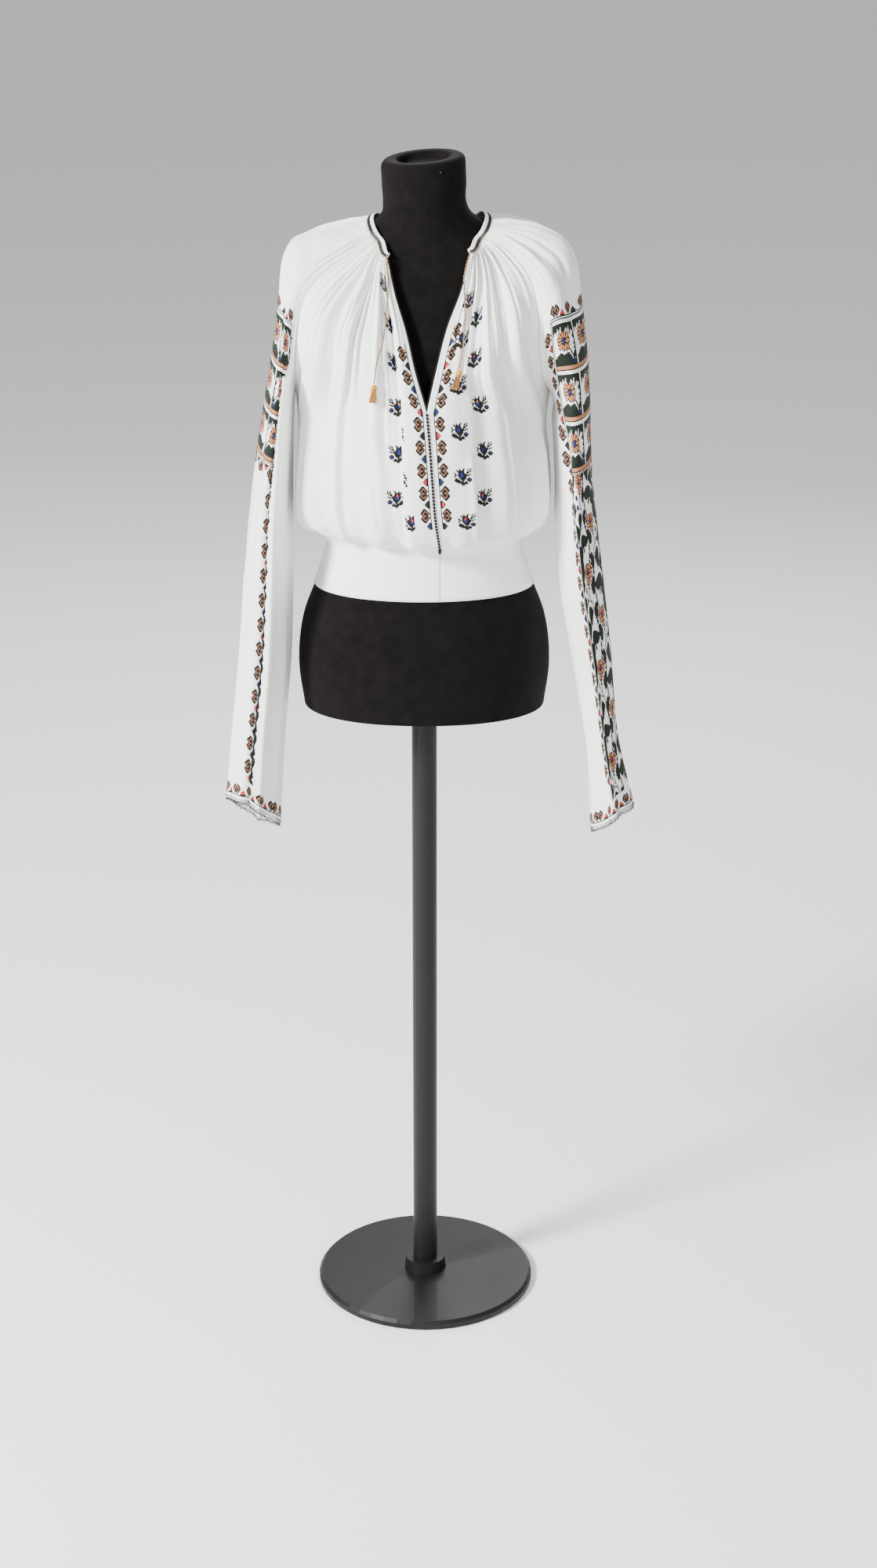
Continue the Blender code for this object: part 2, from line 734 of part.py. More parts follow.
def slit_edging(name, grid, normals):
    """A crocheted edge just past the slit's own edge, down to where the slit closes."""
    edge = grid[:ROWS_TO_UNDERARM, 0] - normals[:ROWS_TO_UNDERARM, 0] * CLOTH_WALL / 2
    beyond = grid[:ROWS_TO_UNDERARM, 0] - grid[:ROWS_TO_UNDERARM, 1]
    beyond /= np.linalg.norm(beyond, axis=1, keepdims=True)
    half = normals[:ROWS_TO_UNDERARM, 0] * EDGING_WALL / 2
    near, far = edge + beyond * SEAM_GAP, edge + beyond * EDGING_WIDTH
    rails = [near + half, far + half, far - half, near - half]
    for rail in rails:
        rail[0] += (rail[1] - rail[0]) * 0.06
    strip(name, rails, BLACK_THREAD)


def centre_seam(right, left):
    """The raised knotted chain that joins the two fronts, from the slit's end to under the blousing."""
    rows = slice(ROWS_TO_UNDERARM, ROWS_TO_UNDERARM + ROWS_TO_BLOUSE + 3)
    middle = (right[0][rows, 0] + left[0][rows, 0]) / 2
    normal = right[1][rows, 0]
    low, high = middle + normal * CENTRE_SEAM_GAP, middle + normal * (CENTRE_SEAM_GAP + SEAM_WALL)
    side = np.array([SEAM_WIDTH / 2, 0.0, 0.0])
    strip("centre_seam", [low - side, low + side, high + side * 0.7, high - side * 0.7], BLACK_THREAD)


def cuff_edging(name, grid, normals):
    """Needle-lace teeth round the sleeve's open end, parted at the underarm seam like the sleeve."""
    columns = np.linspace(0, SLEEVE_COLUMNS, 2 * TEETH + 1)
    whole = np.arange(SLEEVE_COLUMNS + 1)

    def at_columns(values):
        return np.stack([np.interp(columns, whole, values[:, axis]) for axis in range(3)], axis=1)

    edge, normal = at_columns(grid[-1]), at_columns(normals[-1])
    down = at_columns(grid[-1] - grid[-2])
    down /= np.linalg.norm(down, axis=1, keepdims=True)
    reach = np.where(np.arange(len(columns)) % 2, CUFF_TOOTH, CUFF_NOTCH)[:, None]
    rows = np.stack([edge + down * CUFF_GAP, edge + down * reach])
    rows = pulled_in_sides(rows, SEAM_GAP * SEAM_SHARE)
    wall(name, rows, np.stack([normal, normal]), CUFF_WALL, BLACK_THREAD)


# Ties and tassels


def tie(name, route):
    """A round cord along a smooth curve through its route's points."""
    curve = bpy.data.curves.new(name, "CURVE")
    curve.dimensions = "3D"
    curve.bevel_depth = TIE_THICK / 2 * MM
    curve.bevel_resolution = 2
    curve.use_fill_caps = True
    curve.materials.append(TIE_THREAD)
    spline = curve.splines.new("POLY")
    spline.points.add(TIE_POINTS - 1)
    table = [(place, *point) for place, point in enumerate(route)]
    for index, point in enumerate(spline.points):
        place = through(table, index / (TIE_POINTS - 1) * (len(route) - 1))
        point.co = (*(place * MM), 1.0)
    bpy.context.scene.collection.objects.link(bpy.data.objects.new(name, curve))


def tassel(name, route, lean_x, lean_y):
    """A wound head under the tie's end, whose underside is drawn out into strands.

    The cloth behind it flattens it a little, and it leans as that cloth does.
    """
    work = bmesh.new()
    bmesh.ops.create_grid(work, x_segments=4, y_segments=3, size=1.0)
    for corner in work.verts:
        x, y = corner.co.x, corner.co.y
        corner.co.x, corner.co.y = x * math.sqrt(1 - y * y / 2), y * math.sqrt(1 - x * x / 2)
    bottom = list(work.faces)
    rim = [edge for edge in work.edges if edge.is_boundary]
    levels = [
        # height above the strands' roots and width, both as shares of the head's length
        (0.35, 1.05),
        (0.80, 0.80),
        (1.00, 0.45),
    ]
    for corner in work.verts:
        corner.co.x *= TASSEL_HEAD_HALF
        corner.co.y *= TASSEL_HEAD_HALF
    last = 1.0
    for height, width in levels:
        made = bmesh.ops.extrude_edge_only(work, edges=rim)["geom"]
        ring = [item for item in made if isinstance(item, bmesh.types.BMVert)]
        for corner in ring:
            corner.co.x *= width / last
            corner.co.y *= width / last
            corner.co.z = height * TASSEL_HEAD
        rim = [item for item in made if isinstance(item, bmesh.types.BMEdge) and item.is_boundary]
        last = width
    bmesh.ops.contextual_create(work, geom=rim)
    bmesh.ops.inset_individual(work, faces=bottom, thickness=0.12)
    for share in (0.5, 1.0):
        grown = bmesh.ops.extrude_discrete_faces(work, faces=bottom)["faces"]
        for strand in grown:
            middle = strand.calc_center_median()
            spread = 1.0 + (TASSEL_SPREAD - 1.0) * 0.55
            for corner in strand.verts:
                corner.co.x += middle.x * (spread - 1)
                corner.co.y += middle.y * (spread - 1) * 0.3
                corner.co.z = -(TASSEL_LENGTH - TASSEL_HEAD) * share
        bottom = grown
    bmesh.ops.recalc_face_normals(work, faces=work.faces)
    for corner in work.verts:
        corner.co.z -= TASSEL_HEAD
        corner.co.x += lean_x * corner.co.z
        corner.co.y = corner.co.y * TASSEL_FLATTEN + lean_y * corner.co.z
    bmesh.ops.scale(work, vec=(MM, MM, MM), verts=work.verts)
    mesh = bpy.data.meshes.new(name)
    work.to_mesh(mesh)
    work.free()
    made = bpy.data.objects.new(name, mesh)
    made.location = [value * MM for value in (*route[-1][:2], route[-1][2] - TASSEL_GAP)]
    mesh.materials.append(GOLD_THREAD)
    bpy.context.scene.collection.objects.link(made)


TIE_ROUTE_RIGHT = [
    # x, y, z: out of the neckband's face by its end, then down over the front panel
    (-42.0, -66.1, 1395.0),
    (-42.1, -68.3, 1396.3),
    (-42.1, -71.2, 1395.2),
    (-41.9, -73.6, 1390.5),
    (-41.2, -77.5, 1379.0),
    (-41.1, -87.2, 1358.0),
    (-42.6, -99.5, 1327.0),
    (-44.8, -108.6, 1314.0),
    (-47.0, -117.0, 1300.0),
    (-53.5, -127.0, 1280.7),
    (-57.0, -131.8, 1256.5),
]
TIE_ROUTE_LEFT = [
    (55.1, -65.9, 1399.9),
    (55.1, -68.3, 1401.4),
    (54.9, -71.2, 1400.2),
    (54.0, -73.6, 1395.5),
    (50.5, -77.5, 1384.0),
    (47.8, -84.5, 1371.0),
    (48.2, -89.0, 1358.4),
    (48.8, -100.8, 1339.0),
    (48.7, -108.6, 1319.7),
    (45.7, -120.6, 1292.0),
    (42.4, -129.5, 1273.0),
]

form_body()
stand()
FRONTS, SLEEVES, BACK = blouse()
neckband(*neckline(FRONTS, SLEEVES, BACK))
slit_edging("slit_edging_right", *FRONTS[-1])
slit_edging("slit_edging_left", *FRONTS[1])
centre_seam(FRONTS[-1], FRONTS[1])
cuff_edging("cuff_edging_right", *SLEEVES[-1])
cuff_edging("cuff_edging_left", *SLEEVES[1])
tie("tie_right", TIE_ROUTE_RIGHT)
tie("tie_left", TIE_ROUTE_LEFT)
tassel("tassel_right", TIE_ROUTE_RIGHT, 0.10, 0.0)
tassel("tassel_left", TIE_ROUTE_LEFT, 0.25, 0.22)
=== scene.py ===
"""Romanian ie blouse on a limbless dress form: its looks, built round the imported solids.

Tables are in millimetres and degrees, and the studio is in metres. The wearer's right side is
at -X, and the front faces -Y.
"""

import math

import bmesh
import bpy
import numpy as np
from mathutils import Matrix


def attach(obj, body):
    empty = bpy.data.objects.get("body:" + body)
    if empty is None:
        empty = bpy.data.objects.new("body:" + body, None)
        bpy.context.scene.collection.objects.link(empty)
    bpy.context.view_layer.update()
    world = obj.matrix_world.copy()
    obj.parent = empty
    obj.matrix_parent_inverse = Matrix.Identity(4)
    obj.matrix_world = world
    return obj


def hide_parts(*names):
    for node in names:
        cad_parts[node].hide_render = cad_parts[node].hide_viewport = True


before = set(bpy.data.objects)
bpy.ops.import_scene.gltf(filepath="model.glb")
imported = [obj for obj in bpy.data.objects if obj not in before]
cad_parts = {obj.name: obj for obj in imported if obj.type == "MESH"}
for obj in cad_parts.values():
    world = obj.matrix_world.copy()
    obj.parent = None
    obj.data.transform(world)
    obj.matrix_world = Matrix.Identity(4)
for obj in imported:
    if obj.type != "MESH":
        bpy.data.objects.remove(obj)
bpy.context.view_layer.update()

# Studio
# A pale floor that runs to the horizon, a broad soft light from the upper left in front,
# weaker ones from the right and behind, and a camera above the collar, tilted down.

CAMERA_PLACE = (0.018, -3.139, 1.8575)
CAMERA_TILT = 20.0
CAMERA_LENS = 60.0
CAMERA_FILM = 36.0
FLOOR_HALF = 60.0

lens = bpy.data.cameras.new("camera")
lens.lens = CAMERA_LENS
lens.sensor_width = CAMERA_FILM
lens.clip_end = 300.0
camera = bpy.data.objects.new("camera", lens)
camera.location = CAMERA_PLACE
camera.rotation_euler = (math.radians(90.0 - CAMERA_TILT), 0.0, 0.0)
bpy.context.scene.collection.objects.link(camera)
bpy.context.scene.camera = camera

SOFT_LIGHTS = [
    # name, place, aimed at, width, power
    ("key", (-2.9, -2.1, 2.9), (0.0, 0.0, 1.15), 1.0, 560.0),
    ("fill", (1.6, -3.4, 2.2), (0.0, 0.0, 1.1), 2.4, 60.0),
    ("back", (0.6, 3.0, 3.0), (0.0, 0.0, 1.2), 2.4, 90.0),
]
for name, place, aim, width, power in SOFT_LIGHTS:
    glow = bpy.data.lights.new(name, "AREA")
    glow.shape = "DISK"
    glow.size = width
    glow.energy = power
    lamp = bpy.data.objects.new(name, glow)
    lamp.location = place
    towards = np.array(aim) - np.array(place)
    flat = math.hypot(towards[0], towards[1])
    lamp.rotation_euler = (math.atan2(flat, -towards[2]), 0.0, math.atan2(-towards[0], towards[1]))
    bpy.context.scene.collection.objects.link(lamp)

sky = bpy.data.worlds.new("soft_white_room")
sky.use_nodes = True
sky.node_tree.nodes["Background"].inputs["Color"].default_value = (1.0, 1.0, 1.0, 1.0)
sky.node_tree.nodes["Background"].inputs["Strength"].default_value = 0.62
bpy.context.scene.world = sky

floor_mesh = bpy.data.meshes.new("floor")
floor_corners = [(x * FLOOR_HALF, y * FLOOR_HALF, 0.0) for x, y in ((-1, -1), (1, -1), (1, 1), (-1, 1))]
floor_mesh.from_pydata(floor_corners, [], [(0, 1, 2, 3)])
floor = bpy.data.objects.new("floor", floor_mesh)
bpy.context.scene.collection.objects.link(floor)
paper = bpy.data.materials.new("pale_floor")
paper.use_nodes = True
paper.node_tree.nodes["Principled BSDF"].inputs["Base Color"].default_value = (0.93, 0.93, 0.92, 1.0)
paper.node_tree.nodes["Principled BSDF"].inputs["Roughness"].default_value = 0.9
floor_mesh.materials.append(paper)

# Neck ties
# The two free ends of one drawstring: a tan thread and a dark one, twisted together.
# Each leaves the neckband's face by its end, lies on the front panel and ends in a tassel.

MM = 0.001
TIE_THICK = 2.0
TIE_FINE_POINTS = 420
TIE_PLY = 0.56
TIE_LAY = 4.6

TIE_ROUTE_RIGHT = [
    # x, y, z
    (-42.0, -66.1, 1395.0),
    (-42.1, -68.3, 1396.3),
    (-42.1, -71.2, 1395.2),
    (-41.9, -73.6, 1390.5),
    (-41.2, -77.5, 1379.0),
    (-41.1, -87.2, 1358.0),
    (-42.6, -99.5, 1327.0),
    (-44.8, -108.6, 1314.0),
    (-47.0, -117.0, 1300.0),
    (-53.5, -127.0, 1280.7),
    (-57.0, -131.8, 1256.5),
]
TIE_ROUTE_LEFT = [
    (55.1, -65.9, 1399.9),
    (55.1, -68.3, 1401.4),
    (54.9, -71.2, 1400.2),
    (54.0, -73.6, 1395.5),
    (50.5, -77.5, 1384.0),
    (47.8, -84.5, 1371.0),
    (48.2, -89.0, 1358.4),
    (48.8, -100.8, 1339.0),
    (48.7, -108.6, 1319.7),
    (45.7, -120.6, 1292.0),
    (42.4, -129.5, 1273.0),
]


def through(rows, at):
    """A smooth curve through a table's rows, whose first column says how far along it each lies."""
    table = np.array(rows, float)
    knots, values = table[:, 0], table[:, 1:]
    slopes = np.gradient(values, knots, axis=0)
    at = min(max(at, knots[0]), knots[-1])
    low = min(int(np.searchsorted(knots, at, side="right")) - 1, len(knots) - 2)
    span = knots[low + 1] - knots[low]
    part = (at - knots[low]) / span
    return hermite(values[low], slopes[low] * span, values[low + 1], slopes[low + 1] * span, part)


def hermite(start, start_slope, end, end_slope, part):
    """A cubic between two points with the given slopes."""
    square, cube = part * part, part**3
    return (
        (2 * cube - 3 * square + 1) * start
        + (cube - 2 * square + part) * start_slope
        + (3 * square - 2 * cube) * end
        + (cube - square) * end_slope
    )


def along_route(route, count):
    table = [(place, *point) for place, point in enumerate(route)]
    return np.array([through(table, i / (count - 1) * (len(route) - 1)) for i in range(count)])


def unit(vectors):
    return vectors / np.linalg.norm(vectors, axis=-1, keepdims=True)


def lengths_along(path):
    """How far along a path each of its points lies."""
    return np.concatenate([[0.0], np.cumsum(np.linalg.norm(np.diff(path, axis=0), axis=1))])


def made(name, points, faces, finishes, slots=None, smooth=True):
    """A piece from points in millimetres and faces, which rides on the part's one body."""
    mesh = bpy.data.meshes.new(name)
    mesh.from_pydata((np.asarray(points) * MM).tolist(), [], faces)
    for finish in finishes:
        mesh.materials.append(finish)
    if slots is not None:
        mesh.polygons.foreach_set("material_index", slots)
    if smooth:
        mesh.shade_smooth()
    mesh.update()
    piece = bpy.data.objects.new(name, mesh)
    bpy.context.scene.collection.objects.link(piece)
    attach(piece, "root")
    return piece


def across_frames(path):
    """Two directions across a path at each of its points, which turn as little as they can."""
    tangents = unit(np.gradient(path, axis=0))
    first = np.cross(tangents[0], (0.31, 0.95, 0.11))
    firsts = []
    for tangent in tangents:
        first = first - tangent * np.dot(first, tangent)
        first = first / np.linalg.norm(first)
        firsts.append(first)
    firsts = np.array(firsts)
    return firsts, np.cross(tangents, firsts)


def ring_faces(rings, sides):
    """The faces between one ring of points and the next, with both ends closed."""
    faces = []
    for row in range(rings - 1):
        for side in range(sides):
            beside = (side + 1) % sides
            low, high = row * sides, (row + 1) * sides
            faces.append((low + side, low + beside, high + beside, high + side))
    faces.append(tuple(reversed(range(sides))))
    faces.append(tuple((rings - 1) * sides + side for side in range(sides)))
    return faces


def thread_body(path, radii, sides=6):
    """A round thread along a path, closed at both ends. Returns its points and faces."""
    first, second = across_frames(path)
    turns = np.arange(sides) * 2 * math.pi / sides
    ring = first[:, None] * np.cos(turns)[None, :, None] + second[:, None] * np.sin(turns)[None, :, None]
    points = (path[:, None] + ring * np.asarray(radii)[:, None, None]).reshape(-1, 3)
    return points, ring_faces(len(path), sides)


def joined(bodies):
    """Several bodies of points and faces as one, with a slot number for each body's faces."""
    points, faces, slots = [], [], []
    for (some_points, some_faces), slot in bodies:
        base = sum(len(group) for group in points)
        points.append(some_points)
        faces += [tuple(base + corner for corner in face) for face in some_faces]
        slots += [slot] * len(some_faces)
    return np.concatenate(points), faces, slots


def node(tree, kind, values=None, **settings):
    """A shader node with its settings and its inputs' values."""
    new = tree.nodes.new(kind)
    for setting, value in settings.items():
        setattr(new, setting, value)
    for socket, value in (values or {}).items():
        new.inputs[socket].default_value = value
    return new


def two_shades(tree, dark, light, starts=0.0, ends=1.0):
    """A ramp between two close shades, from where one starts to where the other is full."""
    shades = node(tree, "ShaderNodeValToRGB")
    low, high = shades.color_ramp.elements
    low.position, low.color = starts, (*dark, 1.0)
    high.position, high.color = ends, (*light, 1.0)
    return shades


def thread_finish(name, dark, light, roughness=0.8, grain=900.0, sheen=0.08):
    """Spun thread: two close shades in fine streaks, a slight fuzz and a fine bump."""
    finish = bpy.data.materials.new(name)
    finish.use_nodes = True
    tree = finish.node_tree
    shader = tree.nodes["Principled BSDF"]
    shader.inputs["Roughness"].default_value = roughness
    shader.inputs["Specular IOR Level"].default_value = 0.18
    shader.inputs["Sheen Weight"].default_value = sheen
    shader.inputs["Sheen Roughness"].default_value = 0.5
    place = node(tree, "ShaderNodeTexCoord")
    fibres = node(tree, "ShaderNodeTexNoise", {"Scale": grain, "Detail": 3.0, "Roughness": 0.6})
    shades = two_shades(tree, dark, light, 0.3, 0.7)
    relief = node(tree, "ShaderNodeBump", {"Strength": 0.35, "Distance": 0.0003})
    tree.links.new(place.outputs["Object"], fibres.inputs["Vector"])
    tree.links.new(fibres.outputs["Fac"], shades.inputs["Fac"])
    tree.links.new(shades.outputs["Color"], shader.inputs["Base Color"])
    tree.links.new(fibres.outputs["Fac"], relief.inputs["Height"])
    tree.links.new(relief.outputs["Normal"], shader.inputs["Normal"])
    return finish


TAN_THREAD = thread_finish("tan_thread", (0.34, 0.17, 0.06), (0.62, 0.34, 0.14))
DARK_THREAD = thread_finish("dark_grey_thread", (0.045, 0.040, 0.035), (0.16, 0.14, 0.12))


def twisted_tie(name, route, solid):
    path = along_route(route, TIE_FINE_POINTS)
    first, second = across_frames(path)
    gone = lengths_along(path)
    bodies = []
    for slot, phase in enumerate((0.0, math.pi)):
        turn = gone / TIE_LAY * 2 * math.pi + phase
        offset = TIE_THICK / 2 - TIE_PLY
        middle = path + (first * np.cos(turn)[:, None] + second * np.sin(turn)[:, None]) * offset
        bodies.append((thread_body(middle, np.full(len(path), TIE_PLY)), slot))
    points, faces, slots = joined(bodies)
    piece = made(name, points, faces, [TAN_THREAD, DARK_THREAD], slots)
    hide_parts(solid)
    return piece, path, gone[-1]


# Tassels
# Each is a bundle of gold and dark threads, folded over the tie's end and bound under the fold,
# so a small ridged head stands over loose ends that spread a little on the cloth.

TASSEL_GAP = 0.85
TASSEL_LENGTH = 22.0
TASSEL_FLATTEN = 0.7
TASSEL_STRANDS = 96
TASSEL_RIDGES = 18
TASSEL_PROFILE = [
    # depth below the top, radius
    (0.0, 1.1),
    (0.5, 2.1),
    (1.6, 3.0),
    (3.0, 3.5),
    (4.2, 3.2),
    (4.9, 2.6),
    (5.6, 2.7),
    (6.4, 3.3),
]

GOLD_THREADS = [
    thread_finish("gold_thread", (0.46, 0.18, 0.015), (0.72, 0.36, 0.05), 0.6),
    thread_finish("amber_thread", (0.22, 0.08, 0.015), (0.44, 0.19, 0.04), 0.6),
    DARK_THREAD,
]


def tassel(name, top, lean_x, lean_y, seed, solid):
    chance = np.random.default_rng(seed)
    bodies = []
    sides = TASSEL_RIDGES * 3
    turns = np.arange(sides) * 2 * math.pi / sides
    ridged = 1 + 0.07 * np.cos(turns * TASSEL_RIDGES)
    rings = []
    for depth, radius in TASSEL_PROFILE:
        swell = radius * ridged
        rings.append(np.stack([np.cos(turns) * swell, np.sin(turns) * swell, np.full(sides, -depth)], axis=1))
    faces = []
    for row in range(len(rings) - 1):
        for side in range(sides):
            beside = (side + 1) % sides
            low, high = row * sides, (row + 1) * sides
            faces.append((low + side, high + side, high + beside, low + beside))
    faces.append(tuple(range(sides)))
    faces.append(tuple((len(rings) - 1) * sides + side for side in reversed(range(sides))))
    bodies.append(((np.concatenate(rings), faces), 0))
    for turn in range(2):
        loop = np.linspace(0, 2 * math.pi, 29)[:-1]
        depth = 4.75 + 0.55 * turn
        path = np.stack([np.cos(loop) * 2.8, np.sin(loop) * 2.8, np.full(28, -depth)], axis=1)
        bodies.append((thread_body(path, np.full(28, 0.34), 5), 1))
    for index in range(TASSEL_STRANDS):
        around = index * 2.39996
        out = math.sqrt((index + 0.5) / TASSEL_STRANDS)
        root = np.array([math.cos(around) * out * 2.7, math.sin(around) * out * 2.7, -5.9])
        end = (TASSEL_LENGTH - 0.4) * (1.0 - 0.10 * chance.random())
        spread = 1.9 + 0.35 * chance.normal()
        sway = chance.normal(0.0, 0.5, 2)
        steps = np.linspace(0, 1, 7)[:, None]
        path = np.repeat(root[None], 7, axis=0)
        path[:, :2] += (root[:2] * (spread - 1) * 0.6 + sway) * steps**1.3
        path[:, 2:] += -(end + root[2]) * steps
        path[:, 0] += 0.35 * np.sin(steps[:, 0] * 5 + chance.random() * 6) * steps[:, 0]
        slot = 2 if chance.random() < 0.14 else int(chance.random() < 0.35)
        bodies.append((thread_body(path, np.full(7, 0.30), 4), slot))
    points, faces, slots = joined(bodies)
    points[:, 0] += lean_x * points[:, 2]
    points[:, 1] = points[:, 1] * TASSEL_FLATTEN + lean_y * points[:, 2]
    piece = made(name, points + top, faces, GOLD_THREADS, slots)
    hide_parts(solid)
    return piece


TIES = [
    # side, route, tassel's lean in x and y, seed
    ("right", TIE_ROUTE_RIGHT, 0.10, 0.0, 4),
    ("left", TIE_ROUTE_LEFT, 0.25, 0.22, 9),
]
for side_name, route, lean_x, lean_y, seed in TIES:
    tie, tie_path, tie_length = twisted_tie("twisted_tie_" + side_name, route, "tie_" + side_name)
    top = np.array(route[-1]) - (0.0, 0.0, TASSEL_GAP)
    bundle = tassel("thread_tassel_" + side_name, top, lean_x, lean_y, seed, "tassel_" + side_name)

# Dress form
# A foam-cored torso and neck in one black jersey cover, with a shallow dish in the neck's top,
# a faint seam under the throat and a small pin head in the neck.

FORM_BOTTOM = 830.0
FORM_SECTIONS = [
    # height, half_width, front, back, middle, exponent
    (830, 151, 110, 114, 0, 2.2),
    (880, 157, 114, 120, 0, 2.2),
    (940, 151, 108, 114, 0, 2.2),
    (1000, 129, 96, 94, 0, 2.1),
    (1040, 118, 92, 82, 0, 2.1),
    (1080, 122, 98, 83, 0, 2.1),
    (1150, 132, 112, 92, 0, 2.0),
    (1220, 141, 120, 101, 1, 2.0),
    (1270, 147, 111, 104, 2, 2.0),
    (1310, 153, 96, 102, 4, 2.0),
    (1345, 157, 80, 96, 5, 2.0),
    (1370, 152, 71, 86, 6, 2.0),
    (1388, 130, 62, 77, 6, 1.8),
    (1400, 108, 56, 69, 6, 1.65),
    (1411, 84, 51, 61, 6, 1.62),
    (1421, 69, 50, 56, 6, 1.65),
    (1430, 60, 50, 52, 5, 1.8),
    (1436, 53, 50, 51, 4, 1.9),
    (1445, 50, 50, 50, 2, 2.0),
    (1470, 50, 50, 50, 1, 2.0),
    (1492, 50, 50, 50, 0, 2.0),
]
NECK_TOP = [
    # height, radius: the rounded rim, then down into the dish
    (1492.0, 50.0),
    (1494.6, 49.6),
    (1496.8, 48.6),
    (1498.6, 47.0),
    (1499.7, 45.0),
    (1500.1, 42.5),
    (1500.0, 37.0),
    (1499.7, 33.6),
    (1498.6, 31.8),
    (1496.4, 30.8),
    (1493.0, 30.0),
    (1491.4, 28.6),
    (1491.0, 26.0),
    (1490.8, 13.0),
]
NECK_TOP_TILT = (0.08, 0.09)
NECK_TOP_TILT_FROM = 1440.0
FORM_RINGS = 130
FORM_SIDES = 144
THROAT_SEAM = 1407.0
PIN_ANGLE, PIN_HEIGHT, PIN_RADIUS = 24.0, 1487.0, 1.2


def fade(value, start, end):
    """Rises smoothly from 0 at start to 1 at end."""
    part = np.clip((value - start) / (end - start), 0.0, 1.0)
    return part * part * (3 - 2 * part)


def bump(value, middle, width):
    """A soft hill of height 1 at the middle."""
    return np.exp(-(((value - middle) / width) ** 2))


def form_ring(height, angles, proud=0.0):
    """Points of the form's surface. The angle is 0 at the front and 90 at +X."""
    half_width, front, back, middle, exponent = through(FORM_SECTIONS, height)
    across, along = np.sin(np.radians(angles)), -np.cos(np.radians(angles))
    depth = np.where(along < 0, front, back) + proud
    power = 2.0 / exponent
    x = middle + (half_width + proud) * np.sign(across) * np.abs(across) ** power
    y = depth * np.sign(along) * np.abs(along) ** power
    return np.stack([x, y, np.full(len(x), height)], axis=1)


def jersey_finish():
    """Black cotton jersey: fine knitted ribs in the bump, a dusty sheen and a warm near-black."""
    finish = bpy.data.materials.new("black_jersey_knit")
    finish.use_nodes = True
    tree = finish.node_tree
    shader = tree.nodes["Principled BSDF"]
    shader.inputs["Roughness"].default_value = 0.88
    shader.inputs["Specular IOR Level"].default_value = 0.06
    shader.inputs["Sheen Weight"].default_value = 0.02
    shader.inputs["Sheen Roughness"].default_value = 0.6
    shader.inputs["Sheen Tint"].default_value = (0.80, 0.74, 0.72, 1.0)
    place = node(tree, "ShaderNodeTexCoord")
    ribs = node(
        tree, "ShaderNodeTexWave", {"Scale": 420.0, "Distortion": 1.2, "Detail": 2.0, "Detail Scale": 3.0}
    )
    lint = node(tree, "ShaderNodeTexNoise", {"Scale": 60.0, "Detail": 6.0, "Roughness": 0.7})
    shades = two_shades(tree, (0.0022, 0.0018, 0.0017), (0.0055, 0.0046, 0.0044), 0.35, 0.75)
    relief = node(tree, "ShaderNodeBump", {"Strength": 0.25, "Distance": 0.0003})
    tree.links.new(place.outputs["Object"], ribs.inputs["Vector"])
    tree.links.new(place.outputs["Object"], lint.inputs["Vector"])
    tree.links.new(lint.outputs["Fac"], shades.inputs["Fac"])
    tree.links.new(shades.outputs["Color"], shader.inputs["Base Color"])
    tree.links.new(ribs.outputs["Fac"], relief.inputs["Height"])
    tree.links.new(relief.outputs["Normal"], shader.inputs["Normal"])
    return finish


JERSEY = jersey_finish()


def dress_form():
    angles = np.arange(FORM_SIDES) * 360.0 / FORM_SIDES
    rings = []
    for height in np.linspace(FORM_BOTTOM, NECK_TOP[0][0], FORM_RINGS):
        ring = form_ring(height, angles)
        facing = np.clip(-unit(ring[:, :2])[:, 1], 0, 1)[:, None]
        groove = 0.7 * bump(height, THROAT_SEAM, 1.4) * facing
        ring[:, :2] -= unit(ring[:, :2]) * groove
        rings.append(ring)
    for height, radius in NECK_TOP[1:]:
        turns = np.radians(angles)
        level = np.full(FORM_SIDES, height)
        rings.append(np.stack([radius * np.sin(turns), -radius * np.cos(turns), level], axis=1))
    points = np.concatenate(rings)
    tilt = fade(points[:, 2], NECK_TOP_TILT_FROM, 1490.0)
    points[:, 2] += tilt * (NECK_TOP_TILT[0] * points[:, 0] + NECK_TOP_TILT[1] * points[:, 1])
    body = made("jersey_form", points, ring_faces(len(rings), FORM_SIDES), [JERSEY])
    body.data.set_sharp_from_angle(angle=math.radians(60))
    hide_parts("form_body")


def round_ball(sides, radius):
    """A small ball's points and faces."""
    ball = bmesh.new()
    bmesh.ops.create_uvsphere(ball, u_segments=sides, v_segments=8, radius=radius)
    points = np.array([tuple(corner.co) for corner in ball.verts])
    faces = [tuple(corner.index for corner in face.verts) for face in ball.faces]
    ball.free()
    return points, faces


def neck_pin():
    """A pin's round head, pressed into the neck."""
    seat = form_ring(PIN_HEIGHT, np.array([PIN_ANGLE]))[0]
    points, faces = round_ball(14, PIN_RADIUS)
    steel = thread_finish("dull_pin_steel", (0.035, 0.034, 0.033), (0.07, 0.066, 0.062), 0.5, 200.0, 0.0)
    steel.node_tree.nodes["Principled BSDF"].inputs["Metallic"].default_value = 0.9
    made("neck_pin", points + seat, faces, [steel])


dress_form()
neck_pin()

# Stand
# A painted steel pole in a round foot, turned and welded. The solids have the right shape,
# so they only get their paint: satin black with a faint orange-peel and dust.

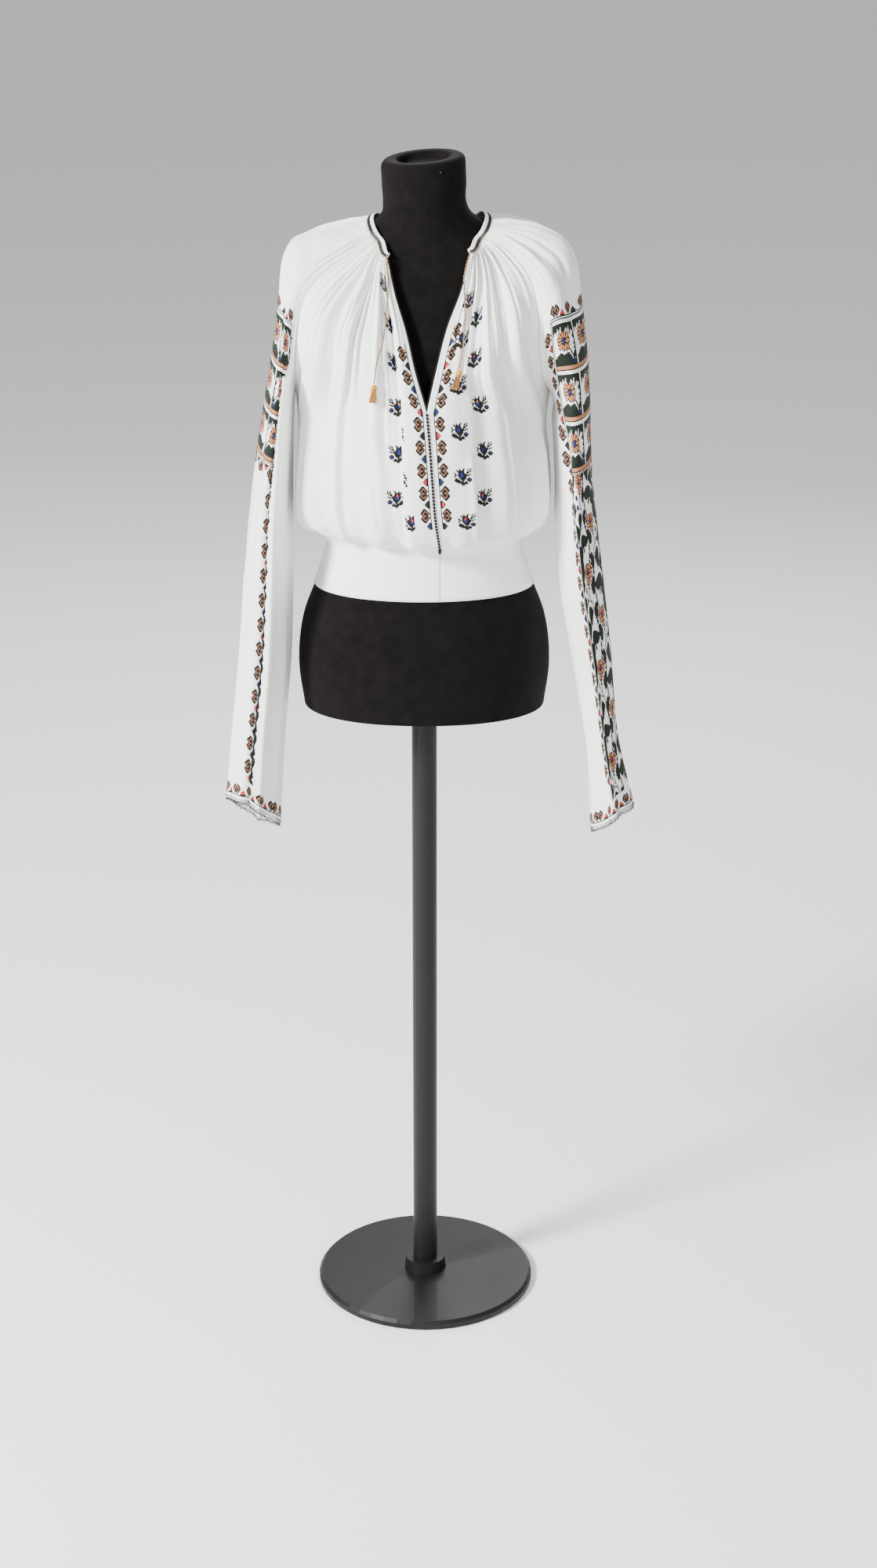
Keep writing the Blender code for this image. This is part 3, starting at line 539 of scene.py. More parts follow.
stand_paint = bpy.data.materials.new("satin_black_paint")
stand_paint.use_nodes = True
paint_tree = stand_paint.node_tree
paint = paint_tree.nodes["Principled BSDF"]
paint.inputs["Specular IOR Level"].default_value = 0.22
paint.inputs["Coat Weight"].default_value = 0.04
paint_place = node(paint_tree, "ShaderNodeTexCoord")
dust = node(paint_tree, "ShaderNodeTexNoise", {"Scale": 14.0, "Detail": 7.0, "Roughness": 0.65})
dust_shades = two_shades(paint_tree, (0.0030, 0.0030, 0.0032), (0.0095, 0.0095, 0.0100))
dulled = node(paint_tree, "ShaderNodeMapRange", {"To Min": 0.36, "To Max": 0.55})
peel = node(paint_tree, "ShaderNodeTexNoise", {"Scale": 420.0, "Detail": 2.0})
peel_relief = node(paint_tree, "ShaderNodeBump", {"Strength": 0.12, "Distance": 0.0002})
for texture in (dust, peel):
    paint_tree.links.new(paint_place.outputs["Object"], texture.inputs["Vector"])
paint_tree.links.new(dust.outputs["Fac"], dust_shades.inputs["Fac"])
paint_tree.links.new(dust.outputs["Fac"], dulled.inputs["Value"])
paint_tree.links.new(dust_shades.outputs["Color"], paint.inputs["Base Color"])
paint_tree.links.new(dulled.outputs["Result"], paint.inputs["Roughness"])
paint_tree.links.new(peel.outputs["Fac"], peel_relief.inputs["Height"])
paint_tree.links.new(peel_relief.outputs["Normal"], paint.inputs["Normal"])
for solid in ("form_pole", "form_foot"):
    solid_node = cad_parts[solid]
    for slot in solid_node.material_slots:
        slot.material = stand_paint

# Sleeves
# Each is one straight length of thin white cotton, gathered at the neckband and sewn to the
# fronts and the back along its raglan edges, then to itself from the underarm to the wrist.

SHELL = 0.5
PANEL_PULL = 0.18
SLEEVE_COLUMNS = 120
SLEEVE_ROWS_TO_UNDERARM = 80
SLEEVE_ROWS_BELOW = 118
EASING = 60
EASED = 0.12

SLEEVE_RIGHT = [
    # along, crown_x, crown_z, inner_x, inner_z, front, back, middle_y, rise, open
    (0.00, -66, 1425, -44, 1405, 40, 47, 0, 7, 90),
    (0.14, -80, 1422, -62, 1396, 44, 55, 1, 5, 90),
    (0.30, -97, 1418, -82, 1374, 53, 62, 2, 4, 90),
    (0.50, -130, 1411, -113, 1338, 67, 78, 3, 2, 95),
    (0.68, -158, 1400, -134, 1297, 75, 82, 2, 0, 105),
    (0.80, -168, 1376, -144, 1266, 79, 82, 0, 0, 119),
    (0.90, -172, 1343, -150, 1246, 82, 82, -1, 0, 141),
    (1.00, -176, 1308, -155, 1222, 84, 82, -2, 0, 180),
    (1.25, -187, 1245, -158, 1186, 87, 82, -4, 0, 180),
    (1.50, -203, 1153, -160, 1122, 89, 82, -5, 0, 180),
    (1.80, -214, 1075, -161, 1060, 90, 81, -6, 0, 180),
    (2.10, -221, 1005, -162, 994, 90, 80, -7, -2, 180),
    (2.40, -230, 905, -166, 894, 88, 78, -6, -8, 180),
    (2.70, -242, 800, -176, 786, 85, 75, -5, -16, 180),
    (3.00, -253, 700, -185, 664, 82, 72, -4, -34, 180),
]
SLEEVE_LEFT = [
    (0.00, 80, 1427, 58, 1407, 40, 47, 0, 7, 90),
    (0.14, 93, 1426, 75, 1398, 44, 55, 1, 5, 90),
    (0.30, 110, 1423, 94, 1376, 53, 62, 2, 4, 90),
    (0.50, 142, 1416, 110, 1338, 71, 78, 3, 2, 97),
    (0.68, 171, 1400, 114, 1297, 83, 82, 2, 0, 108),
    (0.80, 183, 1376, 122, 1266, 88, 82, 0, 0, 122),
    (0.90, 189, 1338, 136, 1246, 88, 82, -1, 0, 145),
    (1.00, 194, 1300, 153, 1222, 84, 82, -2, 0, 180),
    (1.25, 200, 1236, 156, 1186, 87, 82, -4, 0, 180),
    (1.50, 204, 1146, 160, 1122, 89, 82, -5, 0, 180),
    (1.80, 212, 1068, 161, 1056, 90, 81, -6, 0, 180),
    (2.10, 222, 990, 168, 982, 88, 80, -7, -2, 180),
    (2.40, 234, 892, 186, 884, 85, 77, -6, -6, 180),
    (2.70, 245, 787, 204, 774, 81, 74, -3, -12, 180),
    (3.00, 268, 690, 214, 654, 76, 68, 0, -24, 180),
]
SLEEVE_FOLDS_RIGHT = [
    # angle, width, starts, ends, height: an angle of -90 faces the front
    (-88, 15, 1.35, 3.6, -9),
    (-125, 15, 1.5, 3.3, -4),
    (-50, 14, 0.25, 1.1, -6),
    (-22, 12, 0.15, 0.95, 4),
    (12, 13, 0.20, 1.0, -4),
    (48, 15, 0.20, 1.1, 4),
    (95, 13, 1.2, 3.4, -9),
    (60, 15, 1.5, 3.4, 4),
    (20, 18, 2.2, 3.5, -4),
]
SLEEVE_FOLDS_LEFT = [
    (-70, 16, 1.5, 3.4, -5),
    (-118, 14, 1.1, 3.3, -6),
    (-50, 14, 0.25, 1.1, -6),
    (-20, 12, 0.15, 0.95, 4),
    (14, 13, 0.20, 1.0, -4),
    (50, 15, 0.20, 1.1, 4),
    (92, 13, 1.2, 3.4, -9),
    (55, 15, 1.5, 3.4, 4),
    (15, 18, 2.3, 3.5, -4),
]
SLEEVE_GATHERS = 7

SLEEVE_EDGE_RIGHT = [
    # along, across: the edge of the fold that laps the right sleeve's stitches
    (0.70, 0.040),
    (0.80, 0.049),
    (0.91, 0.100),
    (1.03, 0.215),
    (1.28, 0.222),
    (1.69, 0.214),
    (2.26, 0.214),
    (2.57, 0.210),
    (2.89, 0.198),
    (3.20, 0.196),
]
SLEEVE_CREASES_RIGHT = [
    # from along, from across, to along, to across, width on the front's side, width beyond, height
    (0.10, 0.300, 0.90, 0.360, 0.020, 0.014, -2.7),
    (0.06, 0.420, 0.75, 0.470, 0.016, 0.022, 2.3),
    (0.05, 0.560, 0.80, 0.600, 0.018, 0.015, -2.5),
    (0.08, 0.700, 0.95, 0.690, 0.020, 0.030, 2.7),
    (1.20, 0.350, 2.30, 0.370, 0.020, 0.012, -2.2),
    (1.90, 0.430, 3.20, 0.400, 0.014, 0.024, 2.3),
    (1.30, 0.060, 2.60, 0.050, 0.014, 0.022, -2.9),
    (2.20, 0.100, 3.20, 0.085, 0.016, 0.012, 2.5),
    (1.40, 0.930, 3.00, 0.900, 0.020, 0.014, -3.2),
    (1.10, 0.620, 2.70, 0.600, 0.016, 0.030, 2.9),
    (1.70, 0.720, 3.20, 0.760, 0.012, 0.022, -3.1),
    (2.40, 0.550, 3.20, 0.520, 0.020, 0.012, 2.5),
]
NO_EDGE = [(4.0, 0.0), (5.0, 0.0)]
SLEEVE_LAP = (2.6, -2.4)
SLEEVE_CREASES_LEFT = [
    (0.62, 0.020, 1.50, 0.060, 0.012, 0.020, -2.5),
    (0.10, 0.290, 0.85, 0.330, 0.020, 0.014, -2.5),
    (0.06, 0.430, 0.75, 0.470, 0.016, 0.022, 2.3),
    (0.05, 0.570, 0.80, 0.600, 0.018, 0.015, -2.5),
    (0.08, 0.710, 0.95, 0.690, 0.020, 0.030, 2.7),
    (1.50, 0.140, 2.90, 0.160, 0.030, 0.014, -2.7),
    (1.60, 0.060, 3.20, 0.080, 0.014, 0.024, 2.9),
    (2.00, 0.115, 3.20, 0.125, 0.012, 0.020, -2.3),
    (1.30, 0.940, 2.60, 0.930, 0.018, 0.014, -3.2),
    (1.20, 0.630, 2.60, 0.610, 0.016, 0.030, 2.9),
    (1.80, 0.730, 3.20, 0.770, 0.012, 0.022, -3.1),
    (2.30, 0.560, 3.20, 0.530, 0.020, 0.012, 2.5),
]


def sleeve_row(table, along, across):
    """A row of the smooth sleeve. Across runs from the front seam over the crown to the back seam."""
    crown_x, crown_z, inner_x, inner_z, front, back, middle_y, rise, opened = through(table, along)
    angle = np.radians((2 * across - 1) * min(opened, 180.0))
    half_x, half_z = (crown_x - inner_x) / 2, (crown_z - inner_z) / 2
    turn, side = np.cos(angle), np.sin(angle)
    return np.stack([
        inner_x + half_x * (1 + turn),
        middle_y + side * np.where(side < 0, front, back),
        inner_z + half_z * (1 + turn) + rise * side,
    ], axis=1)


def sleeve_lift(table, folds, along, across):
    """How far the main folds and gathers lift a row off the smooth sleeve."""
    angle = (2 * across - 1) * min(through(table, along)[-1], 180.0)
    height = np.zeros(len(across))
    for middle, width, starts, ends, lift in folds:
        reach = fade(along, starts, starts + 0.3) * (1 - fade(along, ends - 0.3, ends))
        height += lift * reach * bump(angle, middle, width)
    gathers = fade(along, 0.0, 0.22) * (1 - fade(along, 0.35, 0.8))
    edges = fade(across, 0.0, 0.08) * fade(1 - across, 0.0, 0.08)
    return height + 1.6 * gathers * edges * np.cos(2 * math.pi * SLEEVE_GATHERS * across)


def fold_edge_lift(edge, down, across, proud, sunk):
    """A flat fold of cloth that stands proud and drops steeply at its edge."""
    table = np.array(edge, float)
    if not table[0, 0] < down < table[-1, 0]:
        return np.zeros(len(across))
    middle = np.interp(down, table[:, 0], table[:, 1])
    reach = fade(down, table[0, 0], table[0, 0] + 0.2) * (1 - fade(down, table[-1, 0] - 0.2, table[-1, 0]))
    before, beyond = middle - across, across - middle
    lap = np.where(before > 0, proud * (1 - fade(before, 0.0, 0.075)), 0.0)
    drop = np.where(before <= 0, sunk * (1 - fade(beyond, 0.004, 0.05)), 0.0)
    return reach * (lap * fade(before, -0.001, 0.004) + drop * fade(beyond, 0.0, 0.008))


def crease_lift(creases, down, across):
    """Soft creases placed one by one, each with its own steeper and gentler side."""
    height = np.zeros(len(across))
    for from_down, from_across, to_down, to_across, before, beyond, lift in creases:
        part = (down - from_down) / (to_down - from_down)
        if 0 < part < 1:
            middle = from_across + (to_across - from_across) * part
            reach = fade(part, 0.0, 0.22) * (1 - fade(part, 0.78, 1.0))
            width = np.where(across < middle, before, beyond)
            height += lift * reach * bump(across, middle, width)
    return height


NECK_PLEATS = [
    # pleats across the panel, phase, height
    (11.0, 0.4, 1.25),
    (17.3, 1.9, 0.95),
    (26.0, 3.1, 0.55),
]


def pleat_lift(down, across, fades_by=0.85):
    """The neckband's small gathers, uneven, which run out down the cloth."""
    reach = fade(down, 0.0, 0.05) * (1 - fade(down, 0.10, fades_by))
    edges = fade(across, 0.0, 0.05) * fade(1 - across, 0.0, 0.05)
    wander = across + 0.010 * np.sin(9 * across + 3 * down)
    waves = sum(height * np.cos(2 * math.pi * count * wander + phase) for count, phase, height in NECK_PLEATS)
    return reach * edges * waves


def grid_normals(grid, outward):
    normal = np.cross(np.gradient(grid, axis=1), np.gradient(grid, axis=0)) * outward
    return unit(normal)


class Panel:
    """A panel's outer face as a grid of points, which embroidery and edgings are laid on."""

    def __init__(self, rows, smooth_row, lift_row, columns, outward):
        across = np.linspace(0.0, 1.0, columns + 1)
        smooth = np.array([smooth_row(row, across) for row in rows])
        lifts = np.array([lift_row(row, across) for row in rows])
        self.rows = np.array(rows)
        self.columns = columns
        for _ in range(EASING):
            mean = (smooth[:-2] + smooth[2:]) / 2
            near = np.array([bump(row, 1.0, EASED) for row in rows[1:-1]])[:, None, None]
            inner = (fade(across, 0.0, 0.1) * fade(1 - across, 0.0, 0.1))[None, :, None]
            smooth[1:-1] += (mean - smooth[1:-1]) * near * inner
        self.grid = smooth + grid_normals(smooth, outward) * lifts[:, :, None]
        self.normals = grid_normals(self.grid, outward)
        self.measure()

    def measure(self):
        """Lengths along each row from its first column, and down each column from its first row."""
        steps = np.linalg.norm(np.diff(self.grid, axis=1), axis=2)
        self.row_gone = np.concatenate([np.zeros((len(self.grid), 1)), np.cumsum(steps, axis=1)], axis=1)
        steps = np.linalg.norm(np.diff(self.grid, axis=0), axis=2)
        self.column_gone = np.concatenate([np.zeros((1, self.grid.shape[1])), np.cumsum(steps, axis=0)])

    def at(self, row, column, lift=0.0):
        """Points on the cloth at fractional rows and columns, moved out by the lift."""
        row = np.clip(row, 0, len(self.rows) - 1.0001)
        column = np.clip(column, 0, self.columns - 0.0001)
        low_row, low_column = row.astype(int), column.astype(int)
        down, side = (row - low_row)[:, None], (column - low_column)[:, None]
        found = []
        for values in (self.grid, self.normals):
            top = values[low_row, low_column] * (1 - side) + values[low_row, low_column + 1] * side
            low = values[low_row + 1, low_column] * (1 - side) + values[low_row + 1, low_column + 1] * side
            found.append(top * (1 - down) + low * down)
        return found[0] + unit(found[1]) * np.reshape(lift, (-1, 1))

    def row_of(self, down):
        return np.interp(down, self.rows, np.arange(len(self.rows)))

    def column_along(self, row, length):
        """The column reached after a length along a row."""
        low = np.clip(row.astype(int), 0, len(self.rows) - 2)
        part = row - low
        index = np.arange(self.columns + 1)
        found = np.empty(len(row))
        for i in range(len(row)):
            gone = self.row_gone[low[i]] * (1 - part[i]) + self.row_gone[low[i] + 1] * part[i]
            found[i] = np.interp(length[i], gone, index)
        return found

    def row_along(self, column, length):
        """The row reached after a length down a column."""
        low = np.clip(column.astype(int), 0, self.columns - 1)
        part = column - low
        index = np.arange(len(self.rows))
        found = np.empty(len(column))
        for i in range(len(column)):
            gone = self.column_gone[:, low[i]] * (1 - part[i]) + self.column_gone[:, low[i] + 1] * part[i]
            found[i] = np.interp(length[i], gone, index)
        return found


def pull_in(panel, column, rows, amount):
    """Moves a panel's edge inward on its own surface, to leave a seam's gap."""
    beside = 1 if column == 0 else column - 1
    way = unit(panel.grid[rows, beside] - panel.grid[rows, column])
    panel.grid[rows, column] += way * amount


def sew(first, first_column, second, second_column, rows_first, rows_second):
    """Gives two panels the same normals along a shared seam, so that their shells meet."""
    mean = unit(first.normals[rows_first, first_column] + second.normals[rows_second, second_column])
    first.normals[rows_first, first_column] = mean
    second.normals[rows_second, second_column] = mean


def shell(name, panel, finish, solids):
    """A closed thin shell of cloth with the panel's outer face, and its thread directions stored."""
    rows, columns = panel.grid.shape[:2]
    inner = panel.grid - panel.normals * SHELL
    points = np.concatenate([panel.grid.reshape(-1, 3), inner.reshape(-1, 3)])
    below = rows * columns
    a = (np.arange(rows - 1)[:, None] * columns + np.arange(columns - 1)[None]).ravel()
    outer_faces = np.stack([a, a + 1, a + columns + 1, a + columns], axis=1)
    x, y = panel.grid[1, 0] - panel.grid[0, 0], panel.grid[0, 1] - panel.grid[0, 0]
    facing_out = np.dot(np.cross(y, x), panel.normals[0, 0]) > 0
    outer_faces = outer_faces if facing_out else outer_faces[:, ::-1]
    inner_faces = outer_faces[:, ::-1] + below
    rim = [(0, column) for column in range(columns)]
    rim += [(row, columns - 1) for row in range(1, rows)]
    rim += [(rows - 1, column) for column in range(columns - 2, -1, -1)]
    rim += [(row, 0) for row in range(rows - 2, 0, -1)]
    ring = [row * columns + column for row, column in rim]
    rim_faces = []
    for here, there in zip(ring, ring[1:] + ring[:1]):
        face = (there, here, below + here, below + there)
        rim_faces.append(face if facing_out else face[::-1])
    faces = outer_faces.tolist() + inner_faces.tolist() + rim_faces
    piece = made(name, points, faces, [finish])
    lay = np.stack([panel.row_gone, panel.column_gone, np.zeros_like(panel.row_gone)], axis=2).reshape(-1, 3)
    threads = piece.data.attributes.new("threads", "FLOAT_VECTOR", "POINT")
    threads.data.foreach_set("vector", np.concatenate([lay, lay]).ravel())
    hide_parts(*solids)
    return piece


def cotton_finish():
    """Thin plain-woven cotton: crossed threads and slubs in the bump, and a soft fuzz."""
    finish = bpy.data.materials.new("thin_white_cotton")
    finish.use_nodes = True
    tree = finish.node_tree
    shader = tree.nodes["Principled BSDF"]
    shader.inputs["Roughness"].default_value = 0.82
    shader.inputs["Sheen Weight"].default_value = 0.18
    shader.inputs["Sheen Roughness"].default_value = 0.45
    shader.inputs["Subsurface Weight"].default_value = 0.12
    shader.inputs["Subsurface Radius"].default_value = (0.004, 0.004, 0.0036)
    threads = node(tree, "ShaderNodeAttribute", attribute_name="threads")
    weave = {"Scale": 0.32, "Distortion": 0.6, "Detail": 1.0}
    warp = node(tree, "ShaderNodeTexWave", weave, bands_direction="X")
    weft = node(tree, "ShaderNodeTexWave", weave, bands_direction="Y")
    woven = node(tree, "ShaderNodeMath", operation="MAXIMUM")
    stretched = node(tree, "ShaderNodeMapping", {"Scale": (0.035, 0.9, 1.0)})
    slubs = node(tree, "ShaderNodeTexNoise", {"Scale": 1.0, "Detail": 4.0, "Roughness": 0.6})
    crinkle = node(tree, "ShaderNodeTexNoise", {"Scale": 0.11, "Detail": 5.0, "Roughness": 0.55})
    shades = two_shades(tree, (0.800, 0.800, 0.785), (0.875, 0.875, 0.862), 0.30, 0.70)
    fine = node(tree, "ShaderNodeBump", {"Strength": 0.20, "Distance": 0.0002})
    streaks = node(tree, "ShaderNodeBump", {"Strength": 0.30, "Distance": 0.0004})
    soft = node(tree, "ShaderNodeBump", {"Strength": 0.35, "Distance": 0.0016})
    for texture in (warp, weft, crinkle):
        tree.links.new(threads.outputs["Vector"], texture.inputs["Vector"])
    tree.links.new(threads.outputs["Vector"], stretched.inputs["Vector"])
    tree.links.new(stretched.outputs["Vector"], slubs.inputs["Vector"])
    tree.links.new(warp.outputs["Fac"], woven.inputs[0])
    tree.links.new(weft.outputs["Fac"], woven.inputs[1])
    tree.links.new(slubs.outputs["Fac"], shades.inputs["Fac"])
    tree.links.new(shades.outputs["Color"], shader.inputs["Base Color"])
    tree.links.new(woven.outputs["Value"], fine.inputs["Height"])
    tree.links.new(slubs.outputs["Fac"], streaks.inputs["Height"])
    tree.links.new(crinkle.outputs["Fac"], soft.inputs["Height"])
    tree.links.new(soft.outputs["Normal"], streaks.inputs["Normal"])
    tree.links.new(streaks.outputs["Normal"], fine.inputs["Normal"])
    tree.links.new(fine.outputs["Normal"], shader.inputs["Normal"])
    return finish


COTTON = cotton_finish()


def spaced(start, end, count):
    return np.linspace(start, end, count, endpoint=False)


SLEEVE_ALONGS = np.concatenate([
    spaced(0.0, 1.0, SLEEVE_ROWS_TO_UNDERARM), spaced(1.0, 3.0, SLEEVE_ROWS_BELOW), [3.0]
])


def sleeve_panel(table, folds, creases, edge, outward):
    return Panel(
        SLEEVE_ALONGS,
        lambda along, across: sleeve_row(table, along, across),
        lambda along, across: (
            sleeve_lift(table, folds, along, across)
            + crease_lift(creases, along, across)
            + fold_edge_lift(edge, along, across, *SLEEVE_LAP)
            + pleat_lift(along, across)
        ),
        SLEEVE_COLUMNS,
        outward,
    )


SLEEVES = {
    "right": sleeve_panel(SLEEVE_RIGHT, SLEEVE_FOLDS_RIGHT, SLEEVE_CREASES_RIGHT, SLEEVE_EDGE_RIGHT, 1),
    "left": sleeve_panel(SLEEVE_LEFT, SLEEVE_FOLDS_LEFT, SLEEVE_CREASES_LEFT, NO_EDGE, -1),
}

# Front panels
# Two half fronts of the same cotton, gathered into the neckband, hemmed along the slit and
# joined below it. They blouse over at the waist, and their tails lie on the form.

FRONT_COLUMNS = 120
FRONT_ROWS = (80, 64, 28)
CLOTH_WALL = 1.2
TAIL_GAP = 0.9

FRONT_EDGE_RIGHT = [
    # down, x, y, z: the slit's edge
    (0.00, -42, -68, 1392),
    (0.25, -33, -87, 1353),
    (0.50, -20, -108, 1313),
    (0.75, -9, -125, 1268),
    (1.00, 4.5, -135, 1223),
]
FRONT_EDGE_LEFT = [
    (0.00, 55, -68, 1397),
    (0.25, 45, -86, 1358),
    (0.50, 28, -106, 1316),
    (0.75, 15, -125, 1268),
    (1.00, 4.5, -135, 1223),
]
CENTRE_FRONT = [
    (1.00, 4.5, -135, 1223),
    (1.25, 7.5, -137, 1188),
    (1.60, 11, -138, 1138),
    (1.85, 15, -134, 1090),
    (2.00, 19, -124, 1062),
    (2.15, 20, -111, 1053),
    (2.35, 19, -101, 1050),
    (3.00, 18, -99, 985),
]
SIDE_RIGHT = [
    (1.00, -155, -2, 1222),
    (1.25, -152, -4, 1186),
    (1.60, -153, -5, 1142),
    (1.85, -156, -5, 1094),
    (2.00, -153, -5, 1074),
    (2.15, -146, -4, 1063),
    (2.35, -134, -3, 1057),
    (3.00, -132, -2, 985),
]
SIDE_LEFT = [
    (1.00, 153, -2, 1222),
    (1.25, 149, -4, 1186),
    (1.60, 152, -5, 1142),
    (1.85, 154, -5, 1094),
    (2.00, 150, -5, 1074),
    (2.15, 143, -4, 1063),
    (2.35, 132, -3, 1057),
    (3.00, 132, -2, 985),
]
TAIL_HEIGHTS = [
    # down, height: below the waist the cloth lies on the form
    (2.35, 1054),
    (2.60, 1038),
    (3.00, 985),
]
TAIL_FROM, TAIL_FULL = 2.30, 2.62
ROW_END_WAYS = [
    # down, outward, round, up: the way a row runs where it meets the sleeve or the side
    (0.00, 0.45, 0.75, 0.35),
    (0.25, 0.60, 0.55, 0.45),
    (0.50, 0.75, 0.50, 0.25),
    (0.75, 0.60, 0.80, 0.05),
    (1.00, 0.20, 0.98, 0.00),
    (1.25, 0.00, 1.00, 0.00),
    (3.00, 0.00, 1.00, 0.00),
]
FRONT_FOLDS_RIGHT = [
    # across_top, across_bottom, width, starts, ends, height
    (0.16, 0.20, 0.045, 0.10, 2.3, -6),
    (0.04, 0.08, 0.060, 0.15, 2.3, 3),
    (0.40, 0.36, 0.060, 0.20, 2.2, -4),
    (0.30, 0.29, 0.055, 0.10, 2.2, 4),
    (0.62, 0.58, 0.050, 0.50, 2.4, -7),
    (0.52, 0.47, 0.070, 0.30, 2.2, 4),
    (0.80, 0.76, 0.090, 0.40, 2.2, 5),
]
FRONT_FOLDS_LEFT = [
    (0.12, 0.14, 0.060, 0.10, 1.6, 2),
    (0.34, 0.30, 0.050, 0.10, 2.2, -4),
    (0.47, 0.44, 0.060, 0.20, 2.2, 4),
    (0.62, 0.58, 0.060, 0.20, 2.3, -5),
    (0.76, 0.73, 0.070, 0.30, 2.2, 5),
    (0.88, 0.86, 0.050, 0.60, 2.2, -4),
]
FRONT_GATHERS = 7
WAIST_GATHERS = 6

FRONT_EDGE_FOLD_RIGHT = [
    # down, across: the edge of the fold that laps over beside the slit's border
    (0.02, 0.118),
    (0.60, 0.128),
    (1.10, 0.136),
    (1.60, 0.144),
    (2.10, 0.150),
]
FRONT_CREASES_RIGHT = [
    # from down, from across, to down, to across, width before, width beyond, height
    (0.06, 0.340, 1.70, 0.300, 0.007, 0.026, -4.6),
    (0.05, 0.450, 1.00, 0.420, 0.018, 0.012, -3.2),
    (0.06, 0.560, 0.90, 0.600, 0.012, 0.020, 2.9),
    (0.10, 0.665, 2.35, 0.600, 0.010, 0.055, -8.5),
    (0.10, 0.600, 2.35, 0.560, 0.050, 0.016, 3.5),
    (1.20, 0.300, 2.00, 0.270, 0.022, 0.014, -2.2),
    (0.90, 0.480, 2.00, 0.500, 0.016, 0.030, 2.5),
    (1.10, 0.760, 2.05, 0.740, 0.014, 0.022, -2.7),
    (0.30, 0.820, 1.20, 0.860, 0.020, 0.014, 2.7),
    (1.40, 0.880, 2.10, 0.900, 0.018, 0.022, -2.5),
    (0.08, 0.500, 2.30, 0.440, 0.040, 0.012, -6.0),
    (0.05, 0.250, 1.60, 0.225, 0.010, 0.030, -4.0),
]
FRONT_CREASES_LEFT = [
    (0.02, 0.240, 0.95, 0.225, 0.012, 0.018, -2.3),
    (0.05, 0.400, 1.10, 0.380, 0.018, 0.012, -3.1),
    (0.04, 0.520, 0.85, 0.540, 0.012, 0.022, 2.7),
    (0.10, 0.680, 1.20, 0.640, 0.012, 0.020, -3.2),
    (0.90, 0.450, 2.10, 0.440, 0.026, 0.014, -2.5),
    (1.10, 0.610, 2.10, 0.590, 0.014, 0.030, 2.5),
    (1.30, 0.220, 2.10, 0.230, 0.024, 0.014, 2.0),
    (0.60, 0.820, 2.00, 0.800, 0.014, 0.022, -3.4),
    (1.20, 0.930, 2.10, 0.920, 0.020, 0.012, -2.5),
]
FRONT_LAP = (3.0, -6.5)
FRONT_PLEATS_FADE_BY = 1.15


def row_arc(start, start_way, end, end_way, part):
    """A row of cloth from a front or centre edge round to the side."""
    length = np.linalg.norm(end - start)
    return hermite(start, start_way * length, end, end_way * length, part[:, None])


def body_row(edge, sleeve, side_table, side, seam, down, across):
    """A row of the smooth body. Across runs from the front edge or centre back to the side.

    The edge is a pair of tables, above and below the underarm, and seam is 0 in front and 1 behind.
    """
    start = through(edge[1] if down >= 1 else edge[0], down)
    outward, round_side, up = through(ROW_END_WAYS, down)
    end_way = unit(np.array([side * outward, round_side * (1 - 2 * seam), up]))
    if down > 1:
        end = through(side_table, down)
    else:
        end = sleeve_row(sleeve, down, np.array([float(seam)]))[0]
    start_way = unit(np.array([side, 0.0, 0.12 * (1 - fade(down, 0.0, 1.0))]))
    bend = 1.0 + 0.12 * fade(down, 0.6, 1.2)
    points = row_arc(start, start_way * bend, end, end_way * bend, across)
    tail = fade(down, TAIL_FROM, TAIL_FULL)
    if tail > 0:
        height = through(TAIL_HEIGHTS, down)[0]
        if seam == 0:
            first = math.degrees(math.asin(start[0] / through(FORM_SECTIONS, height)[0]))
        else:
            first = side * 180.0
        angles = first + (side * 90.0 - first) * across
        points = points * (1 - tail) + form_ring(height, angles, CLOTH_WALL + TAIL_GAP) * tail
    return points


def front_lift(folds, down, across):
    """How far the main folds and gathers lift a row off the smooth body."""
    height = np.zeros(len(across))
    for top, bottom, width, starts, ends, lift in folds:
        middle = top + (bottom - top) * fade(down, 0.0, 2.0)
        reach = fade(down, starts, starts + 0.35) * (1 - fade(down, ends - 0.3, ends))
        height += lift * reach * bump(across, middle, width)
    gathers = fade(down, 0.0, 0.2) * (1 - fade(down, 0.25, 0.7))
    waist = fade(down, 1.8, 2.1) * (1 - fade(down, 2.2, 2.5))
    height += 1.3 * gathers * np.cos(2 * math.pi * FRONT_GATHERS * across)
    height += 2.2 * waist * np.cos(2 * math.pi * WAIST_GATHERS * across + 1.0)
    return height * fade(across, 0.0, 0.07) * fade(1 - across, 0.0, 0.1)


DOWNS = np.concatenate([
    spaced(0.0, 1.0, FRONT_ROWS[0]), spaced(1.0, 2.0, FRONT_ROWS[1]), spaced(2.0, 3.0, FRONT_ROWS[2]), [3.0]
])


def front_panel(side, edge, sleeve, beside, folds, creases, lap):
    edges = (edge, CENTRE_FRONT)
    return Panel(
        DOWNS,
        lambda down, across: body_row(edges, sleeve, beside, side, 0, down, across),
        lambda down, across: (
            front_lift(folds, down, across)
            + crease_lift(creases, down, across) * fade(across, 0.0, 0.06)
            + fold_edge_lift(lap, down, across, *FRONT_LAP) * fade(across, 0.0, 0.06)
            + pleat_lift(down, across, FRONT_PLEATS_FADE_BY)
        ),
        FRONT_COLUMNS,
        -side,
    )


FRONTS = {
    "right": front_panel(
        -1, FRONT_EDGE_RIGHT, SLEEVE_RIGHT, SIDE_RIGHT, FRONT_FOLDS_RIGHT, FRONT_CREASES_RIGHT,
        FRONT_EDGE_FOLD_RIGHT,
    ),
    "left": front_panel(
        1, FRONT_EDGE_LEFT, SLEEVE_LEFT, SIDE_LEFT, FRONT_FOLDS_LEFT, FRONT_CREASES_LEFT, NO_EDGE
    ),
}

